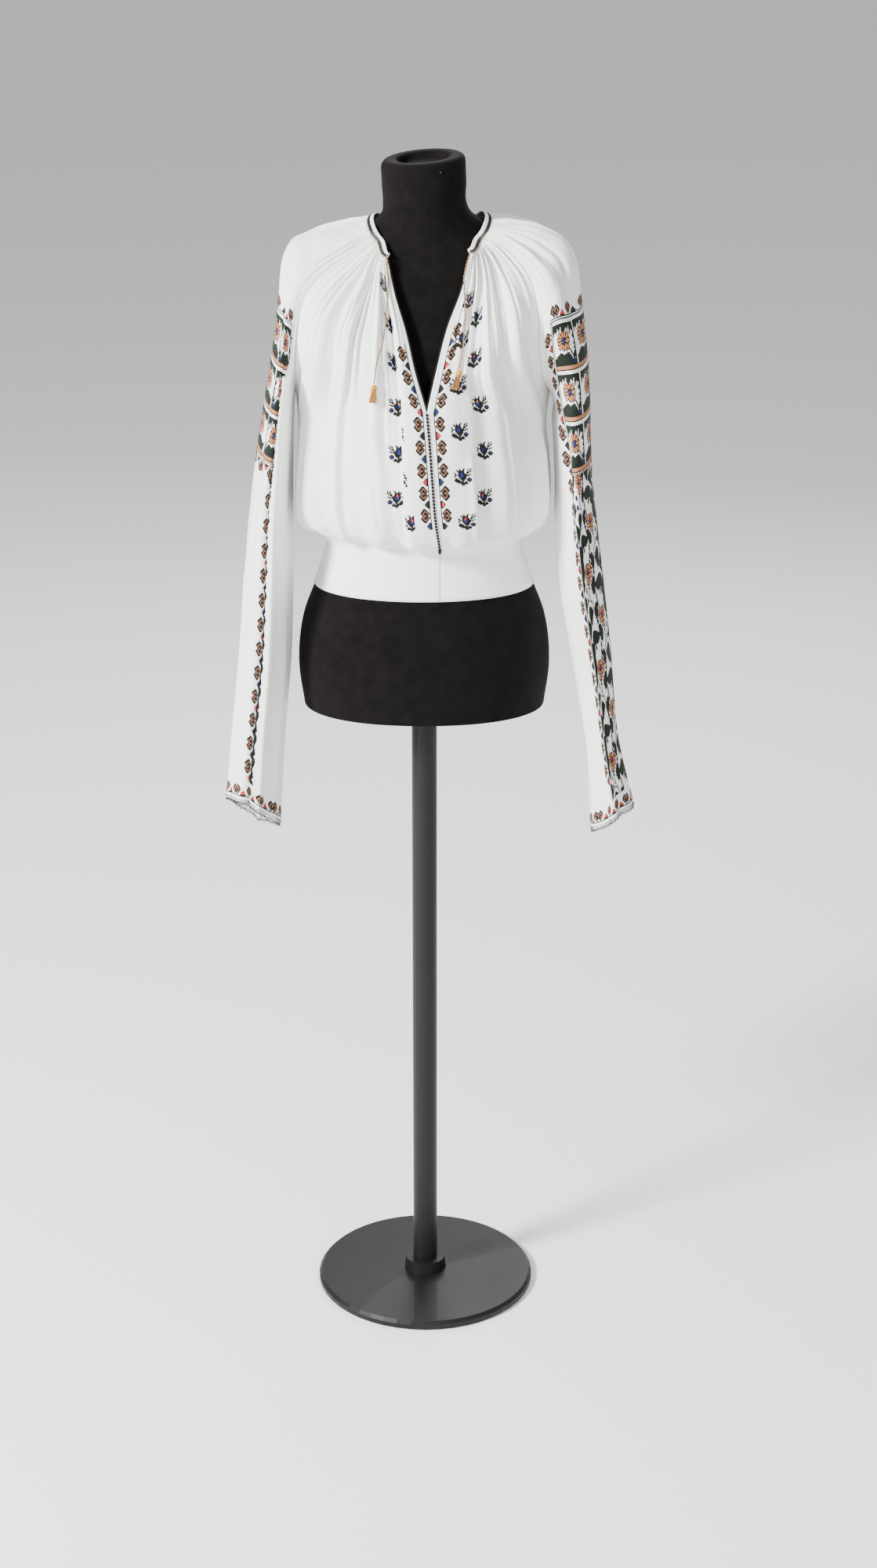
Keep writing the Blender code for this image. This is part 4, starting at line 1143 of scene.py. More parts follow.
# Back panel
# One width of the same cotton, gathered evenly into the neckband and sewn to the sleeves'
# raglan edges and the fronts' sides, with the same bloused waist and tail.

BACK_COLUMNS = 140
BACK_GATHERS = 9
BACK_FOLDS = 5
CENTRE_BACK = [
    (0.00, 7, 66, 1422),
    (0.25, 7, 88, 1394),
    (0.50, 6, 105, 1352),
    (0.75, 5, 115, 1302),
    (1.00, 4, 118, 1232),
    (1.25, 3, 119, 1190),
    (1.60, 2, 120, 1142),
    (1.85, 2, 118, 1096),
    (2.00, 2, 111, 1072),
    (2.15, 2, 101, 1061),
    (2.35, 2, 92, 1056),
    (3.00, 2, 90, 985),
]
BACK_CREASES = [
    (0.05, 0.140, 1.20, 0.120, 0.012, 0.020, -3.2),
    (0.04, 0.270, 0.90, 0.240, 0.018, 0.012, 2.9),
    (0.06, 0.360, 1.30, 0.350, 0.010, 0.018, -3.1),
    (0.03, 0.480, 0.80, 0.470, 0.014, 0.014, 2.5),
    (0.05, 0.590, 1.40, 0.610, 0.018, 0.010, -3.4),
    (0.06, 0.720, 0.95, 0.740, 0.012, 0.020, 2.9),
    (0.04, 0.850, 1.25, 0.880, 0.020, 0.012, -3.1),
    (1.00, 0.200, 2.10, 0.180, 0.010, 0.024, -3.2),
    (1.10, 0.430, 2.05, 0.440, 0.024, 0.012, 2.7),
    (0.90, 0.660, 2.10, 0.680, 0.012, 0.022, -3.1),
    (1.20, 0.800, 2.10, 0.790, 0.016, 0.010, 2.5),
]


def back_row(down, across):
    edges = (CENTRE_BACK, CENTRE_BACK)
    right = across < 0.5
    reach = np.abs(2 * across - 1)
    row = np.empty((len(across), 3))
    row[right] = body_row(edges, SLEEVE_RIGHT, SIDE_RIGHT, -1, 1, down, reach[right])
    row[~right] = body_row(edges, SLEEVE_LEFT, SIDE_LEFT, 1, 1, down, reach[~right])
    return row


def back_lift(down, across):
    gathers = fade(down, 0.0, 0.2) * (1 - fade(down, 0.3, 0.9))
    folds = fade(down, 0.4, 1.0) * (1 - fade(down, 2.1, 2.4))
    edges = fade(across, 0.0, 0.08) * fade(1 - across, 0.0, 0.08)
    wave = 1.6 * gathers * np.cos(2 * math.pi * BACK_GATHERS * across)
    wave += 3.0 * folds * np.cos(2 * math.pi * BACK_FOLDS * across + 0.6)
    return edges * (wave + crease_lift(BACK_CREASES, down, across)) + pleat_lift(down, across)


BACK = Panel(DOWNS, back_row, back_lift, BACK_COLUMNS, 1)

# Panel seams
# The five panels are sewn edge to edge with narrow flat seams that hardly show. Their edges lie
# a hair apart here and face the same way, so the cotton runs on evenly from panel to panel.

UNDERARM_ROW = FRONT_ROWS[0]
for side_name, back_column in (("right", 0), ("left", BACK_COLUMNS)):
    front, sleeve = FRONTS[side_name], SLEEVES[side_name]
    raglan = np.arange(UNDERARM_ROW)
    below = np.arange(UNDERARM_ROW, len(DOWNS))
    tube = np.arange(UNDERARM_ROW, len(SLEEVE_ALONGS))
    sew(front, FRONT_COLUMNS, sleeve, 0, raglan, raglan)
    sew(BACK, back_column, sleeve, SLEEVE_COLUMNS, raglan, raglan)
    sew(front, FRONT_COLUMNS, BACK, back_column, below, below)
    sew(sleeve, 0, sleeve, SLEEVE_COLUMNS, tube, tube)
    for panel, column in ((front, FRONT_COLUMNS), (BACK, back_column), (sleeve, 0), (sleeve, SLEEVE_COLUMNS)):
        pull_in(panel, column, np.arange(len(panel.rows)), PANEL_PULL)
joined_rows = np.arange(UNDERARM_ROW, len(DOWNS))
sew(FRONTS["right"], 0, FRONTS["left"], 0, joined_rows, joined_rows)
for panel in FRONTS.values():
    pull_in(panel, 0, joined_rows, PANEL_PULL)

for side_name in ("right", "left"):
    shell(
        "cotton_sleeve_" + side_name,
        SLEEVES[side_name],
        COTTON,
        ["altita_" + side_name, "sleeve_" + side_name],
    )
    shell(
        "cotton_front_" + side_name, FRONTS[side_name], COTTON, ["front_" + side_name]
    )
shell("cotton_back", BACK, COTTON, ["back"])

# Neckband
# A narrow band of the same cotton, folded over the gathers and sewn down, open in front.
# Black thread is braided in a zigzag over its lower edge, with orange strokes below it.

BAND_WIDTH = 8.0
BAND_WALL = 2.0
BAND_RISE = 0.6
BAND_AXIS = (4.0, 0.0, 0.0)
BAND_POINTS = 330
BAND_SIDES = 18
BRAID_PITCH = 3.6
BRAID_REACH = 1.5
BRAID_THREAD = 0.42

STITCH_BLACK = thread_finish("black_sewing_thread", (0.0028, 0.0024, 0.0021), (0.0085, 0.0072, 0.0062))
STITCH_PEACH = thread_finish("peach_sewing_thread", (0.42, 0.155, 0.060), (0.62, 0.27, 0.125))


def even_path(points, count):
    """A path through points again, with its own points evenly spaced."""
    gone = lengths_along(points)
    at = np.linspace(0.0, gone[-1], count)
    return np.stack([np.interp(at, gone, points[:, axis]) for axis in range(3)], axis=1)


def smoothed(points, times):
    for _ in range(times):
        points[1:-1] = (points[:-2] + 2 * points[1:-1] + points[2:]) / 4
    return points


def band_frame():
    """The middle line of the band's lower edge, with the ways along, inward and out of its face."""
    pieces = [
        (FRONTS["right"], slice(0, None)),
        (SLEEVES["right"], slice(1, None)),
        (BACK, slice(1, None)),
        (SLEEVES["left"], slice(-2, None, -1)),
        (FRONTS["left"], slice(-2, None, -1)),
    ]
    points = np.concatenate([panel.grid[0, which] for panel, which in pieces])
    normals = np.concatenate([panel.normals[0, which] for panel, which in pieces])
    edge = smoothed(even_path(points, BAND_POINTS), 12)
    out_of_cloth = unit(smoothed(even_path(normals, BAND_POINTS), 12))
    along = unit(np.gradient(edge, axis=0))
    inward = np.array(BAND_AXIS) - edge
    inward[:, 2] = 0
    inward = unit(inward)
    inward[:, 2] = BAND_RISE
    inward = unit(inward - along * np.sum(along * inward, axis=1, keepdims=True))
    out = np.cross(inward, along)
    out *= np.sign(out[:, 2:])
    return edge - out_of_cloth * CLOTH_WALL / 2, along, inward, out


def band_surface(middle, inward, out, share):
    """Points round the band's soft-cornered section, by angle shares, for a whole row of places."""
    turn = 2 * math.pi * share
    across, thick = np.cos(turn), np.sin(turn)
    reach = np.sign(across) * np.abs(across) ** 0.55 * (BAND_WIDTH - 0.4) / 2
    rise = np.sign(thick) * np.abs(thick) ** 0.8 * BAND_WALL / 2
    return middle + inward * (BAND_WIDTH / 2 + 0.3 + reach) + out * rise


BAND_MIDDLE, BAND_ALONG, BAND_INWARD, BAND_OUT = band_frame()


def neckband():
    shares = np.arange(BAND_SIDES) / BAND_SIDES
    rings = [band_surface(BAND_MIDDLE, BAND_INWARD, BAND_OUT, share) for share in shares]
    points = np.stack(rings, axis=1)
    ripple = 1 + 0.06 * np.cos(np.arange(BAND_POINTS) * 1.9)[:, None, None]
    centre = points.mean(axis=1, keepdims=True)
    points = centre + (points - centre) * ripple
    ends = [points[:1] * 0.55 + centre[:1] * 0.45, points[-1:] * 0.55 + centre[-1:] * 0.45]
    ends[0] -= BAND_ALONG[0] * 0.6
    ends[1] += BAND_ALONG[-1] * 0.6
    points = np.concatenate([ends[0], points, ends[1]])
    faces = [face[::-1] for face in ring_faces(BAND_POINTS + 2, BAND_SIDES)]
    band = made("cotton_neckband", points.reshape(-1, 3), faces, [COTTON])
    threads = band.data.attributes.new("threads", "FLOAT_VECTOR", "POINT")
    threads.data.foreach_set("vector", points.reshape(-1, 3).ravel())
    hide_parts("neckband")


def on_band(place, reach, lift=0.0):
    """Points on the band's outer face: place along it in points, reach from its lower edge."""
    index = np.arange(BAND_POINTS)
    found = []
    for values in (BAND_MIDDLE, BAND_INWARD, BAND_OUT):
        found.append(np.stack([np.interp(place, index, values[:, axis]) for axis in range(3)], axis=1))
    reach, lift = np.reshape(reach, (-1, 1)), np.reshape(lift, (-1, 1))
    return found[0] + found[1] * reach + found[2] * (BAND_WALL / 2 + lift)


def neckband_braid():
    length = np.sum(np.linalg.norm(np.diff(BAND_MIDDLE, axis=0), axis=1))
    teeth = int(length / BRAID_PITCH)
    bodies = []
    for phase in (0.0, math.pi):
        step = np.linspace(0, teeth, teeth * 8 + 1)
        place = step / teeth * (BAND_POINTS - 1)
        reach = 1.9 + BRAID_REACH * np.cos(2 * math.pi * step + phase)
        lift = 0.25 + 0.25 * np.sin(4 * math.pi * step + phase)
        bodies.append((thread_body(on_band(place, reach, lift), np.full(len(step), BRAID_THREAD), 5), 0))
    for tooth in range(teeth):
        place = np.array([tooth + 0.30, tooth + 0.46, tooth + 0.62]) / teeth * (BAND_POINTS - 1)
        path = on_band(place, [0.3, -1.2, -2.6], [0.2, -0.15, -0.45])
        bodies.append((thread_body(path, np.array([0.30, 0.36, 0.22]), 5), 1))
    points, faces, slots = joined(bodies)
    piece = made("neckband_braid", points, faces, [STITCH_BLACK, STITCH_PEACH], slots)


neckband()
neckband_braid()

# Slit edgings
# Black thread crocheted along each hemmed edge of the slit: a twisted base cord, and small
# teeth that reach past it.

EDGING_WIDTH = 2.5
EDGING_BASE = 0.95
EDGING_TOOTH = 3.1
EDGING_TWIST = 0.35
EDGING_SUNK = 0.5
EDGING_CORD, EDGING_THREAD = 0.48, 0.36


def edge_frame(panel, rows):
    """Points down a panel's first column, with the ways out of the cloth and past its edge."""
    edge = panel.at(rows, np.zeros(len(rows)))
    beside = panel.at(rows, np.full(len(rows), 1.0))
    lifted = panel.at(rows, np.zeros(len(rows)), 1.0)
    return edge, unit(lifted - edge), unit(edge - beside)


def slit_edging(name, panel, solid):
    length = panel.column_gone[UNDERARM_ROW, 0]
    teeth = int(length / EDGING_TOOTH) - 1
    fine = np.linspace(0.9, UNDERARM_ROW - 0.9, 360)
    edge, out, past = edge_frame(panel, fine)
    bodies = []
    gone = np.linspace(0, length, len(fine))
    for phase in (0.0, math.pi):
        turn = gone / 3.2 * 2 * math.pi + phase
        sideways = EDGING_BASE + EDGING_TWIST * np.cos(turn)
        lift = EDGING_TWIST * np.sin(turn) - EDGING_SUNK
        path = edge + past * sideways[:, None] + out * lift[:, None]
        bodies.append((thread_body(path, np.full(len(fine), EDGING_CORD)), 0))
    for tooth in range(teeth):
        middle = (tooth + 0.6) / teeth * (UNDERARM_ROW - 2) + 0.8
        half = 0.42 * (UNDERARM_ROW - 2) / teeth
        turn = np.linspace(-1, 1, 9)
        rows = middle + half * np.sin(turn * math.pi / 2) * (1.15 - 0.35 * np.abs(turn))
        edge, out, past = edge_frame(panel, rows)
        reach = EDGING_BASE + (EDGING_WIDTH - 0.35 - EDGING_BASE) * np.cos(turn * math.pi / 2)
        path = edge + past * reach[:, None] - out * EDGING_SUNK
        bodies.append((thread_body(path, np.full(9, EDGING_THREAD), 5), 0))
    points, faces, slots = joined(bodies)
    piece = made(name, points, faces, [STITCH_BLACK], slots)
    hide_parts(solid)


for side_name in ("right", "left"):
    slit_edging("crocheted_edge_" + side_name, FRONTS[side_name], "slit_edging_" + side_name)

# Centre seam
# The two fronts are joined by a raised chain of black knots, each drawn over from both hems.

SEAM_GAP_UNDER = 0.5
KNOT_PITCH = 4.05
KNOT_HALF_WIDTH = 1.6
KNOT_HALF_LENGTH = 1.75
KNOT_THICK = 1.5
CHAIN_FROM, CHAIN_TO = 1.0, 2.5


def centre_chain():
    right, left = FRONTS["right"], FRONTS["left"]
    rows = np.linspace(right.row_of(CHAIN_FROM), right.row_of(CHAIN_TO), 400)
    middle = (right.at(rows, np.zeros(400)) + left.at(rows, np.zeros(400))) / 2
    gone = lengths_along(middle)
    knots = int(gone[-1] / KNOT_PITCH)
    ball_points, ball_faces = round_ball(12, 1.0)
    bodies = []
    for knot in range(knots):
        at = np.array([(knot + 0.5) * gone[-1] / knots])
        row = np.interp(at, gone, rows)
        centre = (right.at(row, np.zeros(1)) + left.at(row, np.zeros(1)))[0] / 2
        ahead = (right.at(row + 0.5, np.zeros(1)) + left.at(row + 0.5, np.zeros(1)))[0] / 2
        down = unit(ahead - centre)
        out = unit(right.at(row, np.zeros(1), 1.0) - right.at(row, np.zeros(1)))[0]
        side = unit(np.cross(down, out))
        centre = centre + out * (SEAM_GAP_UNDER + KNOT_THICK / 2)
        squared = 1 + 0.18 * np.abs(ball_points[:, :1] * ball_points[:, 1:2])
        body = (
            ball_points[:, :1] * side * KNOT_HALF_WIDTH
            + ball_points[:, 1:2] * down * KNOT_HALF_LENGTH
            + ball_points[:, 2:] * out * KNOT_THICK / 2
        )
        bodies.append(((centre + body * squared, ball_faces), 0))
        for way in (-1, 1):
            wrap = np.linspace(0, math.pi, 9)
            path = (
                centre
                + np.cos(wrap)[:, None] * side * (KNOT_HALF_WIDTH + 0.15)
                + np.sin(wrap)[:, None] * out * (KNOT_THICK / 2 + 0.15)
                + down * way * (0.5 + 0.5 * np.cos(wrap)[:, None])
            )
            bodies.append((thread_body(path, np.full(9, 0.27), 5), 0))
    points, faces, slots = joined(bodies)
    piece = made("knotted_centre_seam", points, faces, [STITCH_BLACK], slots)
    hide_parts("centre_seam")


centre_chain()

# Cuff edgings
# Black needle lace round each sleeve's open end: loops drawn out to teeth over a base thread.

CUFF_TOOTH = 4.5
CUFF_NOTCH = 2.2
CUFF_TEETH = 28


def cuff_lace(name, panel, solid):
    last = len(panel.rows) - 1
    points_round = CUFF_TEETH * 12 + 1
    columns = np.linspace(0.3, panel.columns - 0.3, points_round)
    edge = panel.at(np.full(points_round, last - 0.001), columns)
    above = panel.at(np.full(points_round, last - 1.0), columns)
    lifted = panel.at(np.full(points_round, last - 0.001), columns, 1.0)
    down, out = unit(edge - above), unit(lifted - edge)
    turn = np.linspace(0, CUFF_TEETH, points_round)
    peak = 0.5 - 0.5 * np.cos(2 * math.pi * turn)
    bodies = []
    reach = CUFF_NOTCH - 0.5 + (CUFF_TOOTH - CUFF_NOTCH) * peak
    for inset, thick in ((0.0, 0.38), (0.95, 0.30)):
        path = edge + down * (reach * (1 - 0.3 * inset) - inset * 0.4)[:, None] - out * 0.5
        bodies.append((thread_body(path, np.full(points_round, thick), 5), 0))
    base = edge + down * 0.75 - out * 0.5
    bodies.append((thread_body(base, np.full(points_round, 0.42), 5), 0))
    for tooth in range(CUFF_TEETH * 3):
        index = tooth * 4 + 2
        path = edge[index] - out[index] * 0.5 + down[index] * np.linspace(0.6, reach[index], 4)[:, None]
        bodies.append((thread_body(path, np.full(4, 0.26), 4), 0))
    points, faces, slots = joined(bodies)
    piece = made(name, points, faces, [STITCH_BLACK], slots)
    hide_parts(solid)


for side_name in ("right", "left"):
    cuff_lace("needle_lace_" + side_name, SLEEVES[side_name], "cuff_edging_" + side_name)

# Front cross-stitch
# Counted stitches on the finished panels: a border of crosses and triangles on each side of the
# slit and centre seam, a thin line inside it with pin stitches, and scattered flower sprigs.

STITCH_REST = 0.12
STITCH_RISE = 0.42
STITCH_SPREAD = 0.02
FRONT_STITCH = (1.13, 1.37)
BORDER_LINES = {"right": 4.6, "left": 7.4}
SPRIG_STITCH = (1.25, 1.40)
BORDER_PITCH = 20
BORDER_FIRST_DOWN = {"right": 0.54, "left": 0.45}
BORDER_LAST_DOWN = 1.885
PIN_LINES = (0.36, 0.74)
PIN_PITCH = 2.4

STITCHES = {
    "K": STITCH_BLACK,
    "P": STITCH_PEACH,
    "G": thread_finish("dark_green_thread", (0.0030, 0.0095, 0.0045), (0.0085, 0.026, 0.011)),
    "B": thread_finish("blue_thread", (0.007, 0.011, 0.085), (0.020, 0.032, 0.20)),
    "R": thread_finish("red_thread", (0.40, 0.012, 0.012), (0.72, 0.030, 0.030)),
    "H": thread_finish("brown_thread", (0.24, 0.100, 0.046), (0.44, 0.205, 0.105)),
}
LETTERS = "KPGBRH"
PIN_THREAD = thread_finish("grey_pin_thread", (0.10, 0.095, 0.09), (0.22, 0.21, 0.20), 0.8, 700.0, 0.1)

CROSS = [
    # the left side lies on the border's line
    "....KKK...",
    "...KKKKK..",
    "..KKHHKKK.",
    ".KKHKKHKKK",
    "KKHKKKKHKK",
    ".KKKKKHKK.",
    "..KKHHKK..",
    ".KKKKKHKK.",
    "KKHKKKKHKK",
    ".KKHKKHKKK",
    "..KKHHKKK.",
    "...KKKKK..",
    "....KKK...",
]
TRIANGLE = [
    # c is filled in turn
    "KK...",
    "KCK..",
    "KCCK.",
    "KCCCK",
    "KCCK.",
    "KCK..",
    "KK...",
]
SPRIG = [
    ".....K...KK...K.K",
    "..KK.KK.KK...KK.K",
    "...KKKKKKK...K.KK",
    "K...KKKCKK..KKKK.",
    "KK..KKCCKKK.KK...",
    ".KKKKKCBBKKKK.KKK",
    "KK..KKBBBKKKKKK..",
    "K...KKBBKKKK.....",
    ".KK..KKKKKKK.KKK.",
    "KKKKK.KKKKK.KKBBK",
    "KKKKKK.KGK..KKBKK",
    ".KKKKKKGG.KK.KKK.",
    "...KKKKGKKKKK....",
    "......KGGKKKK....",
    ".......KKK.......",
]
TURNS = "RGB"


def stamp(cells, chart, left, top, turned="K", mirrored=False, upright=True):
    """Counts a chart out onto the cells. A chart that isn't upright lies on its side."""
    for row, line in enumerate(chart):
        for column, letter in enumerate(line):
            if letter == ".":
                continue
            u = len(line) - 1 - column if mirrored else column
            place = (left + u, top + row) if upright else (left + row, top + u)
            cells[place] = turned if letter == "C" else letter


def stroke(cells, start, end):
    """A line of black stitches between two cells."""
    steps = max(abs(end[0] - start[0]), abs(end[1] - start[1]), 1)
    for step in range(steps + 1):
        part = step / steps
        u = round(start[0] + (end[0] - start[0]) * part)
        v = round(start[1] + (end[1] - start[1]) * part)
        cells[(u, v)] = "K"


def stitched(cells, stitch, panel, place, keep=None):
    """Raised stitches as one body of points and faces for each, with a slot for each colour.

    The place turns millimetres over the cloth into the panel's rows and columns.
    """
    keys = sorted(cells)
    spots = np.array(keys, float)
    slots = np.array([LETTERS.index(cells[key]) for key in keys])
    near, far = -STITCH_SPREAD, 1 + STITCH_SPREAD
    corners = [(near, near), (far, near), (far, far), (near, far), (0.5, 0.5)]
    found, kept = [], np.ones(len(keys), bool)
    for du, dv in corners:
        row, column = place((spots[:, 0] + du) * stitch[0], (spots[:, 1] + dv) * stitch[1])
        if keep is not None:
            kept &= keep(row, column)
        lift = STITCH_RISE if (du, dv) == (0.5, 0.5) else STITCH_REST
        found.append(panel.at(row, column, lift))
    points = np.stack(found, axis=1)[kept]
    outward = panel.at(row, column, 1.0)[kept] - panel.at(row, column)[kept]
    way = np.cross(points[:, 1] - points[:, 0], points[:, 3] - points[:, 0])
    flip = np.sum(way * outward, axis=1) < 0
    points[flip] = points[flip][:, [3, 2, 1, 0, 4]]
    base = np.arange(len(points))[:, None] * 5
    sides = np.array([(0, 1, 4), (1, 2, 4), (2, 3, 4), (3, 0, 4), (2, 1, 0), (3, 2, 0)])
    faces = (base[:, :, None] + sides[None]).reshape(-1, 3)
    return points.reshape(-1, 3), faces.tolist(), np.repeat(slots[kept], 6).tolist()


def embroidery(name, layers):
    """One piece from several groups of stitches."""
    points, faces, slots = [], [], []
    for some_points, some_faces, some_slots in layers:
        base = sum(len(group) for group in points)
        points.append(some_points)
        faces += [[base + corner for corner in face] for face in some_faces]
        slots += some_slots
    finishes = [STITCHES[letter] for letter in LETTERS]
    piece = made(name, np.concatenate(points), faces, finishes, slots, smooth=False)
    return piece


def from_edge(panel):
    """Places by length down the front edge, and from it along the row."""
    def place(u, v):
        row = panel.row_along(np.zeros(len(u)), v)
        return row, panel.column_along(row, u)
    return place


def about(panel, down, across):
    """Places round one point of a panel."""
    row0, column0 = panel.row_of(down), across * panel.columns
    low, part = int(column0), column0 - int(column0)
    down_column = panel.column_gone[:, low] * (1 - part) + panel.column_gone[:, low + 1] * part
    start = np.interp(row0, np.arange(len(panel.rows)), down_column)

    def place(u, v):
        row = np.interp(start + v, down_column, np.arange(len(panel.rows)))
        low_row = np.clip(row.astype(int), 0, len(panel.rows) - 2)
        share = row - low_row
        column = np.empty(len(row))
        for i in range(len(row)):
            gone = panel.row_gone[low_row[i]] * (1 - share[i]) + panel.row_gone[low_row[i] + 1] * share[i]
            here = np.interp(column0, np.arange(panel.columns + 1), gone)
            column[i] = np.interp(here + u[i], gone, np.arange(panel.columns + 1))
        return row, column
    return place


def border_cells(count, first_turn):
    cells = {}
    for unit_row in range(count):
        top = unit_row * BORDER_PITCH
        stamp(cells, CROSS, 1, top)
        stamp(cells, TRIANGLE, 1, top + 13, TURNS[(unit_row + first_turn) % 3])
    for row in range(-3, count * BORDER_PITCH):
        cells[(0, row)] = "K"
    return cells


SPRIGS_LEFT = [
    # down, across, turn
    (0.344, 0.176, "P"),
    (0.589, 0.189, "B"),
    (0.842, 0.195, "B"),
    (1.161, 0.169, "B"),
    (1.547, 0.167, "B"),
    (1.843, 0.172, "R"),
    (0.498, 0.318, "B"),
    (0.726, 0.328, "R"),
    (0.975, 0.329, "P"),
    (1.342, 0.309, "G"),
    (1.706, 0.281, "R"),
]
SPRIGS_RIGHT = [
    (0.192, 0.171, "P"),
    (0.460, 0.146, "B"),
    (0.699, 0.144, "G"),
    (0.978, 0.162, "P"),
    (1.362, 0.169, "B"),
    (1.709, 0.186, "R"),
]
SPRIGS_TURNED_UNDER = [
    # down, across, turn, shows from across, to across: the fold hides the rest of these
    (1.172, 0.106, "G", 0.122, 0.137),
    (1.558, 0.108, "B", 0.118, 0.140),
    (1.838, 0.116, "R", 0.095, 0.143),
]


def pin_stitches(panel, length, border_line):
    """Rows of tiny grey pin stitches on the hem beside the slit."""
    count = int(length / PIN_PITCH)
    v = (np.arange(count) + 0.5) * PIN_PITCH
    groups = []
    first, second = panel.row_along(np.zeros(count), v), panel.row_along(np.zeros(count), v + 0.9)
    for share in PIN_LINES:
        reach = np.full(count, share * border_line)
        starts = panel.at(first, panel.column_along(first, reach), 0.02)
        ends = panel.at(second, panel.column_along(second, reach), 0.02)
        for start, end in zip(starts, ends):
            groups.append((thread_body(np.array([start, end]), np.array([0.17, 0.17]), 4), 0))
    return groups


def front_embroidery(side_name, sprigs, first_turn):
    panel = FRONTS[side_name]
    ends = panel.row_of([BORDER_FIRST_DOWN[side_name], BORDER_LAST_DOWN])
    start, length = np.interp(ends, np.arange(len(panel.rows)), panel.column_gone[:, 0])
    count = int((length - start) / (BORDER_PITCH * FRONT_STITCH[1]))
    top = length - count * BORDER_PITCH * FRONT_STITCH[1]
    edge_place = from_edge(panel)

    def border_place(u, v):
        return edge_place(u + BORDER_LINES[side_name], v + top)

    layers = [stitched(border_cells(count, first_turn), FRONT_STITCH, panel, border_place)]
    for down, across, turn, *shows in sprigs:
        cells = {}
        stamp(cells, SPRIG, 0, 0, turn)
        spot = about(panel, down, across)
        near, far = shows or (0.0, 1.0)

        def sprig_place(u, v, spot=spot):
            return spot(u - len(SPRIG[0]) / 2 * SPRIG_STITCH[0], v - len(SPRIG) / 2 * SPRIG_STITCH[1])

        def shown(row, column, near=near, far=far):
            return (column > near * panel.columns) & (column < far * panel.columns)

        layers.append(stitched(cells, SPRIG_STITCH, panel, sprig_place, shown))
    piece = embroidery("front_cross_stitch_" + side_name, layers)
    points, faces, slots = joined(pin_stitches(panel, length, BORDER_LINES[side_name]))
    pins = made("hem_pin_stitches_" + side_name, points, faces, [PIN_THREAD], slots, smooth=False)
    return [piece, pins]


FRONT_WORK = {
    "right": front_embroidery("right", SPRIGS_RIGHT + SPRIGS_TURNED_UNDER, 1),
    "left": front_embroidery("left", SPRIGS_LEFT, 2),
}

# Sleeve cross-stitch
# The altita is a dense field of flowers over each upper arm, in three rows of four with crosses
# round it. A long vine runs between two lines from it to the cuff. On the right sleeve a plain
# fold of the cotton laps over both, and their stitches end there.

SLEEVE_STITCH = (1.45, 1.48)
ALTITA_STITCH = (1.74, 1.48)
BOX_WIDE, BOX_TALL = 35, 42
ALTITA_COLUMNS, ALTITA_ROWS = 4, 3
ALTITA_TOP = -203.0
ALTITA_FOOT = 1.5
ALTITA_CROSSES = 6
SLEEVE_PITCH = 21
VINE_TOP = -14.0
VINE_WIDE = 56
VINE_PERIOD = 84
CUFF_CLEAR = 26.0
FOLD_MARGIN = 0.002

BORDER_LEFT = [
    # down from the altita's foot, across: where the border's line runs
    (-235, 0.090),
    (-210, 0.100),
    (-140, 0.120),
    (-100, 0.137),
    (-60, 0.158),
    (-17, 0.180),
    (40, 0.215),
    (84, 0.238),
    (160, 0.240),
    (450, 0.238),
]
BORDER_RIGHT = [
    (-235, 0.060),
    (-210, 0.070),
    (-140, 0.110),
    (-100, 0.140),
    (-60, 0.170),
    (-17, 0.226),
    (20, 0.260),
    (130, 0.262),
    (450, 0.268),
]
HANG_LEFT = [
    # down from the altita's foot, drop, more drop towards the sleeve's outer side
    (-215, 11.7, 9.8),
    (-17, 8.2, 6.9),
    (90, 0.0, 0.0),
]
HANG_RIGHT = [
    (-215, 17.0, 9.0),
    (-17, 0.0, 8.0),
    (90, 0.0, 0.0),
]
FLOWER = [
    "......KKKKKK......",
    "..KK.KPPKKPPK.KK..",
    ".KPPKKPPKKPPKKPPK.",
    ".KPPPKKPPKPPKKPPK.",
    "..KPPPKPPKPKKPPPK.",
    "KKKKPPKKPKPKPPPKK.",
    "KPPPKKPKKKKKKPKKKK",
    "KPPPPPKKBBBKKKPPPK",
    "KKKKKKKBBBBKPPPPPK",
    "KPPPPPPKBBBKKPPPKK",
    "KPPPKKKKBBKKKKKKK.",
    "KKKKPPPKKKKPPKKPPK",
    "..KPPPPKPKPKPPKPPK",
    ".KPPPPKPPKPPKPPKK.",
    ".KPPPKKPPKPPKKPPK.",
    "..KKK.KPPKKPPKKK..",
    ".......KKK.KKK....",
]
WIDE_LEAF = [
    "......KKKK......KKKK..",
    "....KKGGKKKK.KKKGGGKK.",
    "..KKGKKGGKGGKKGGKKGGKK",
    ".KKGGKGGKGGKGGKGGKGGGK",
    "KKGKGGKGKGGKGGKGGKGGKK",
    "KKGGKGKGGKGKGGKGKGGKK.",
    ".KKKGGKGGKGGKGKGGKKK..",
    "..KKKKGGKGGKGGKKKK....",
    "....KKKKKGGKKKKK......",
    "........KKKK..........",
]
LEAF = [
    "....KKKK.....",
    "..KKGKKGK....",
    ".KKGKGGKGKK..",
    ".KGKGKGGKGGK.",
    "KKGGKGKGGKGK.",
    "KGKGKKGKGGKKK",
    "KGGKGKGGKGKGK",
    "KKGKGKKGKGGKK",
    "KGKGGKGKGKGK.",
    "KGGKGKKGKGGK.",
    ".KGGKGKGGKK..",
    ".KKGKGKKGGK..",
    "..KGGKGKGK...",
    "..KKGKGGKK...",
    "...KKGKGK....",
    "....KKGKK....",
    ".....KKK.....",
    "......K......",
]
BERRY = [
    ".KKK.",
    "KBBBK",
    "KBBBK",
    "KBBBK",
    ".KKK.",
]
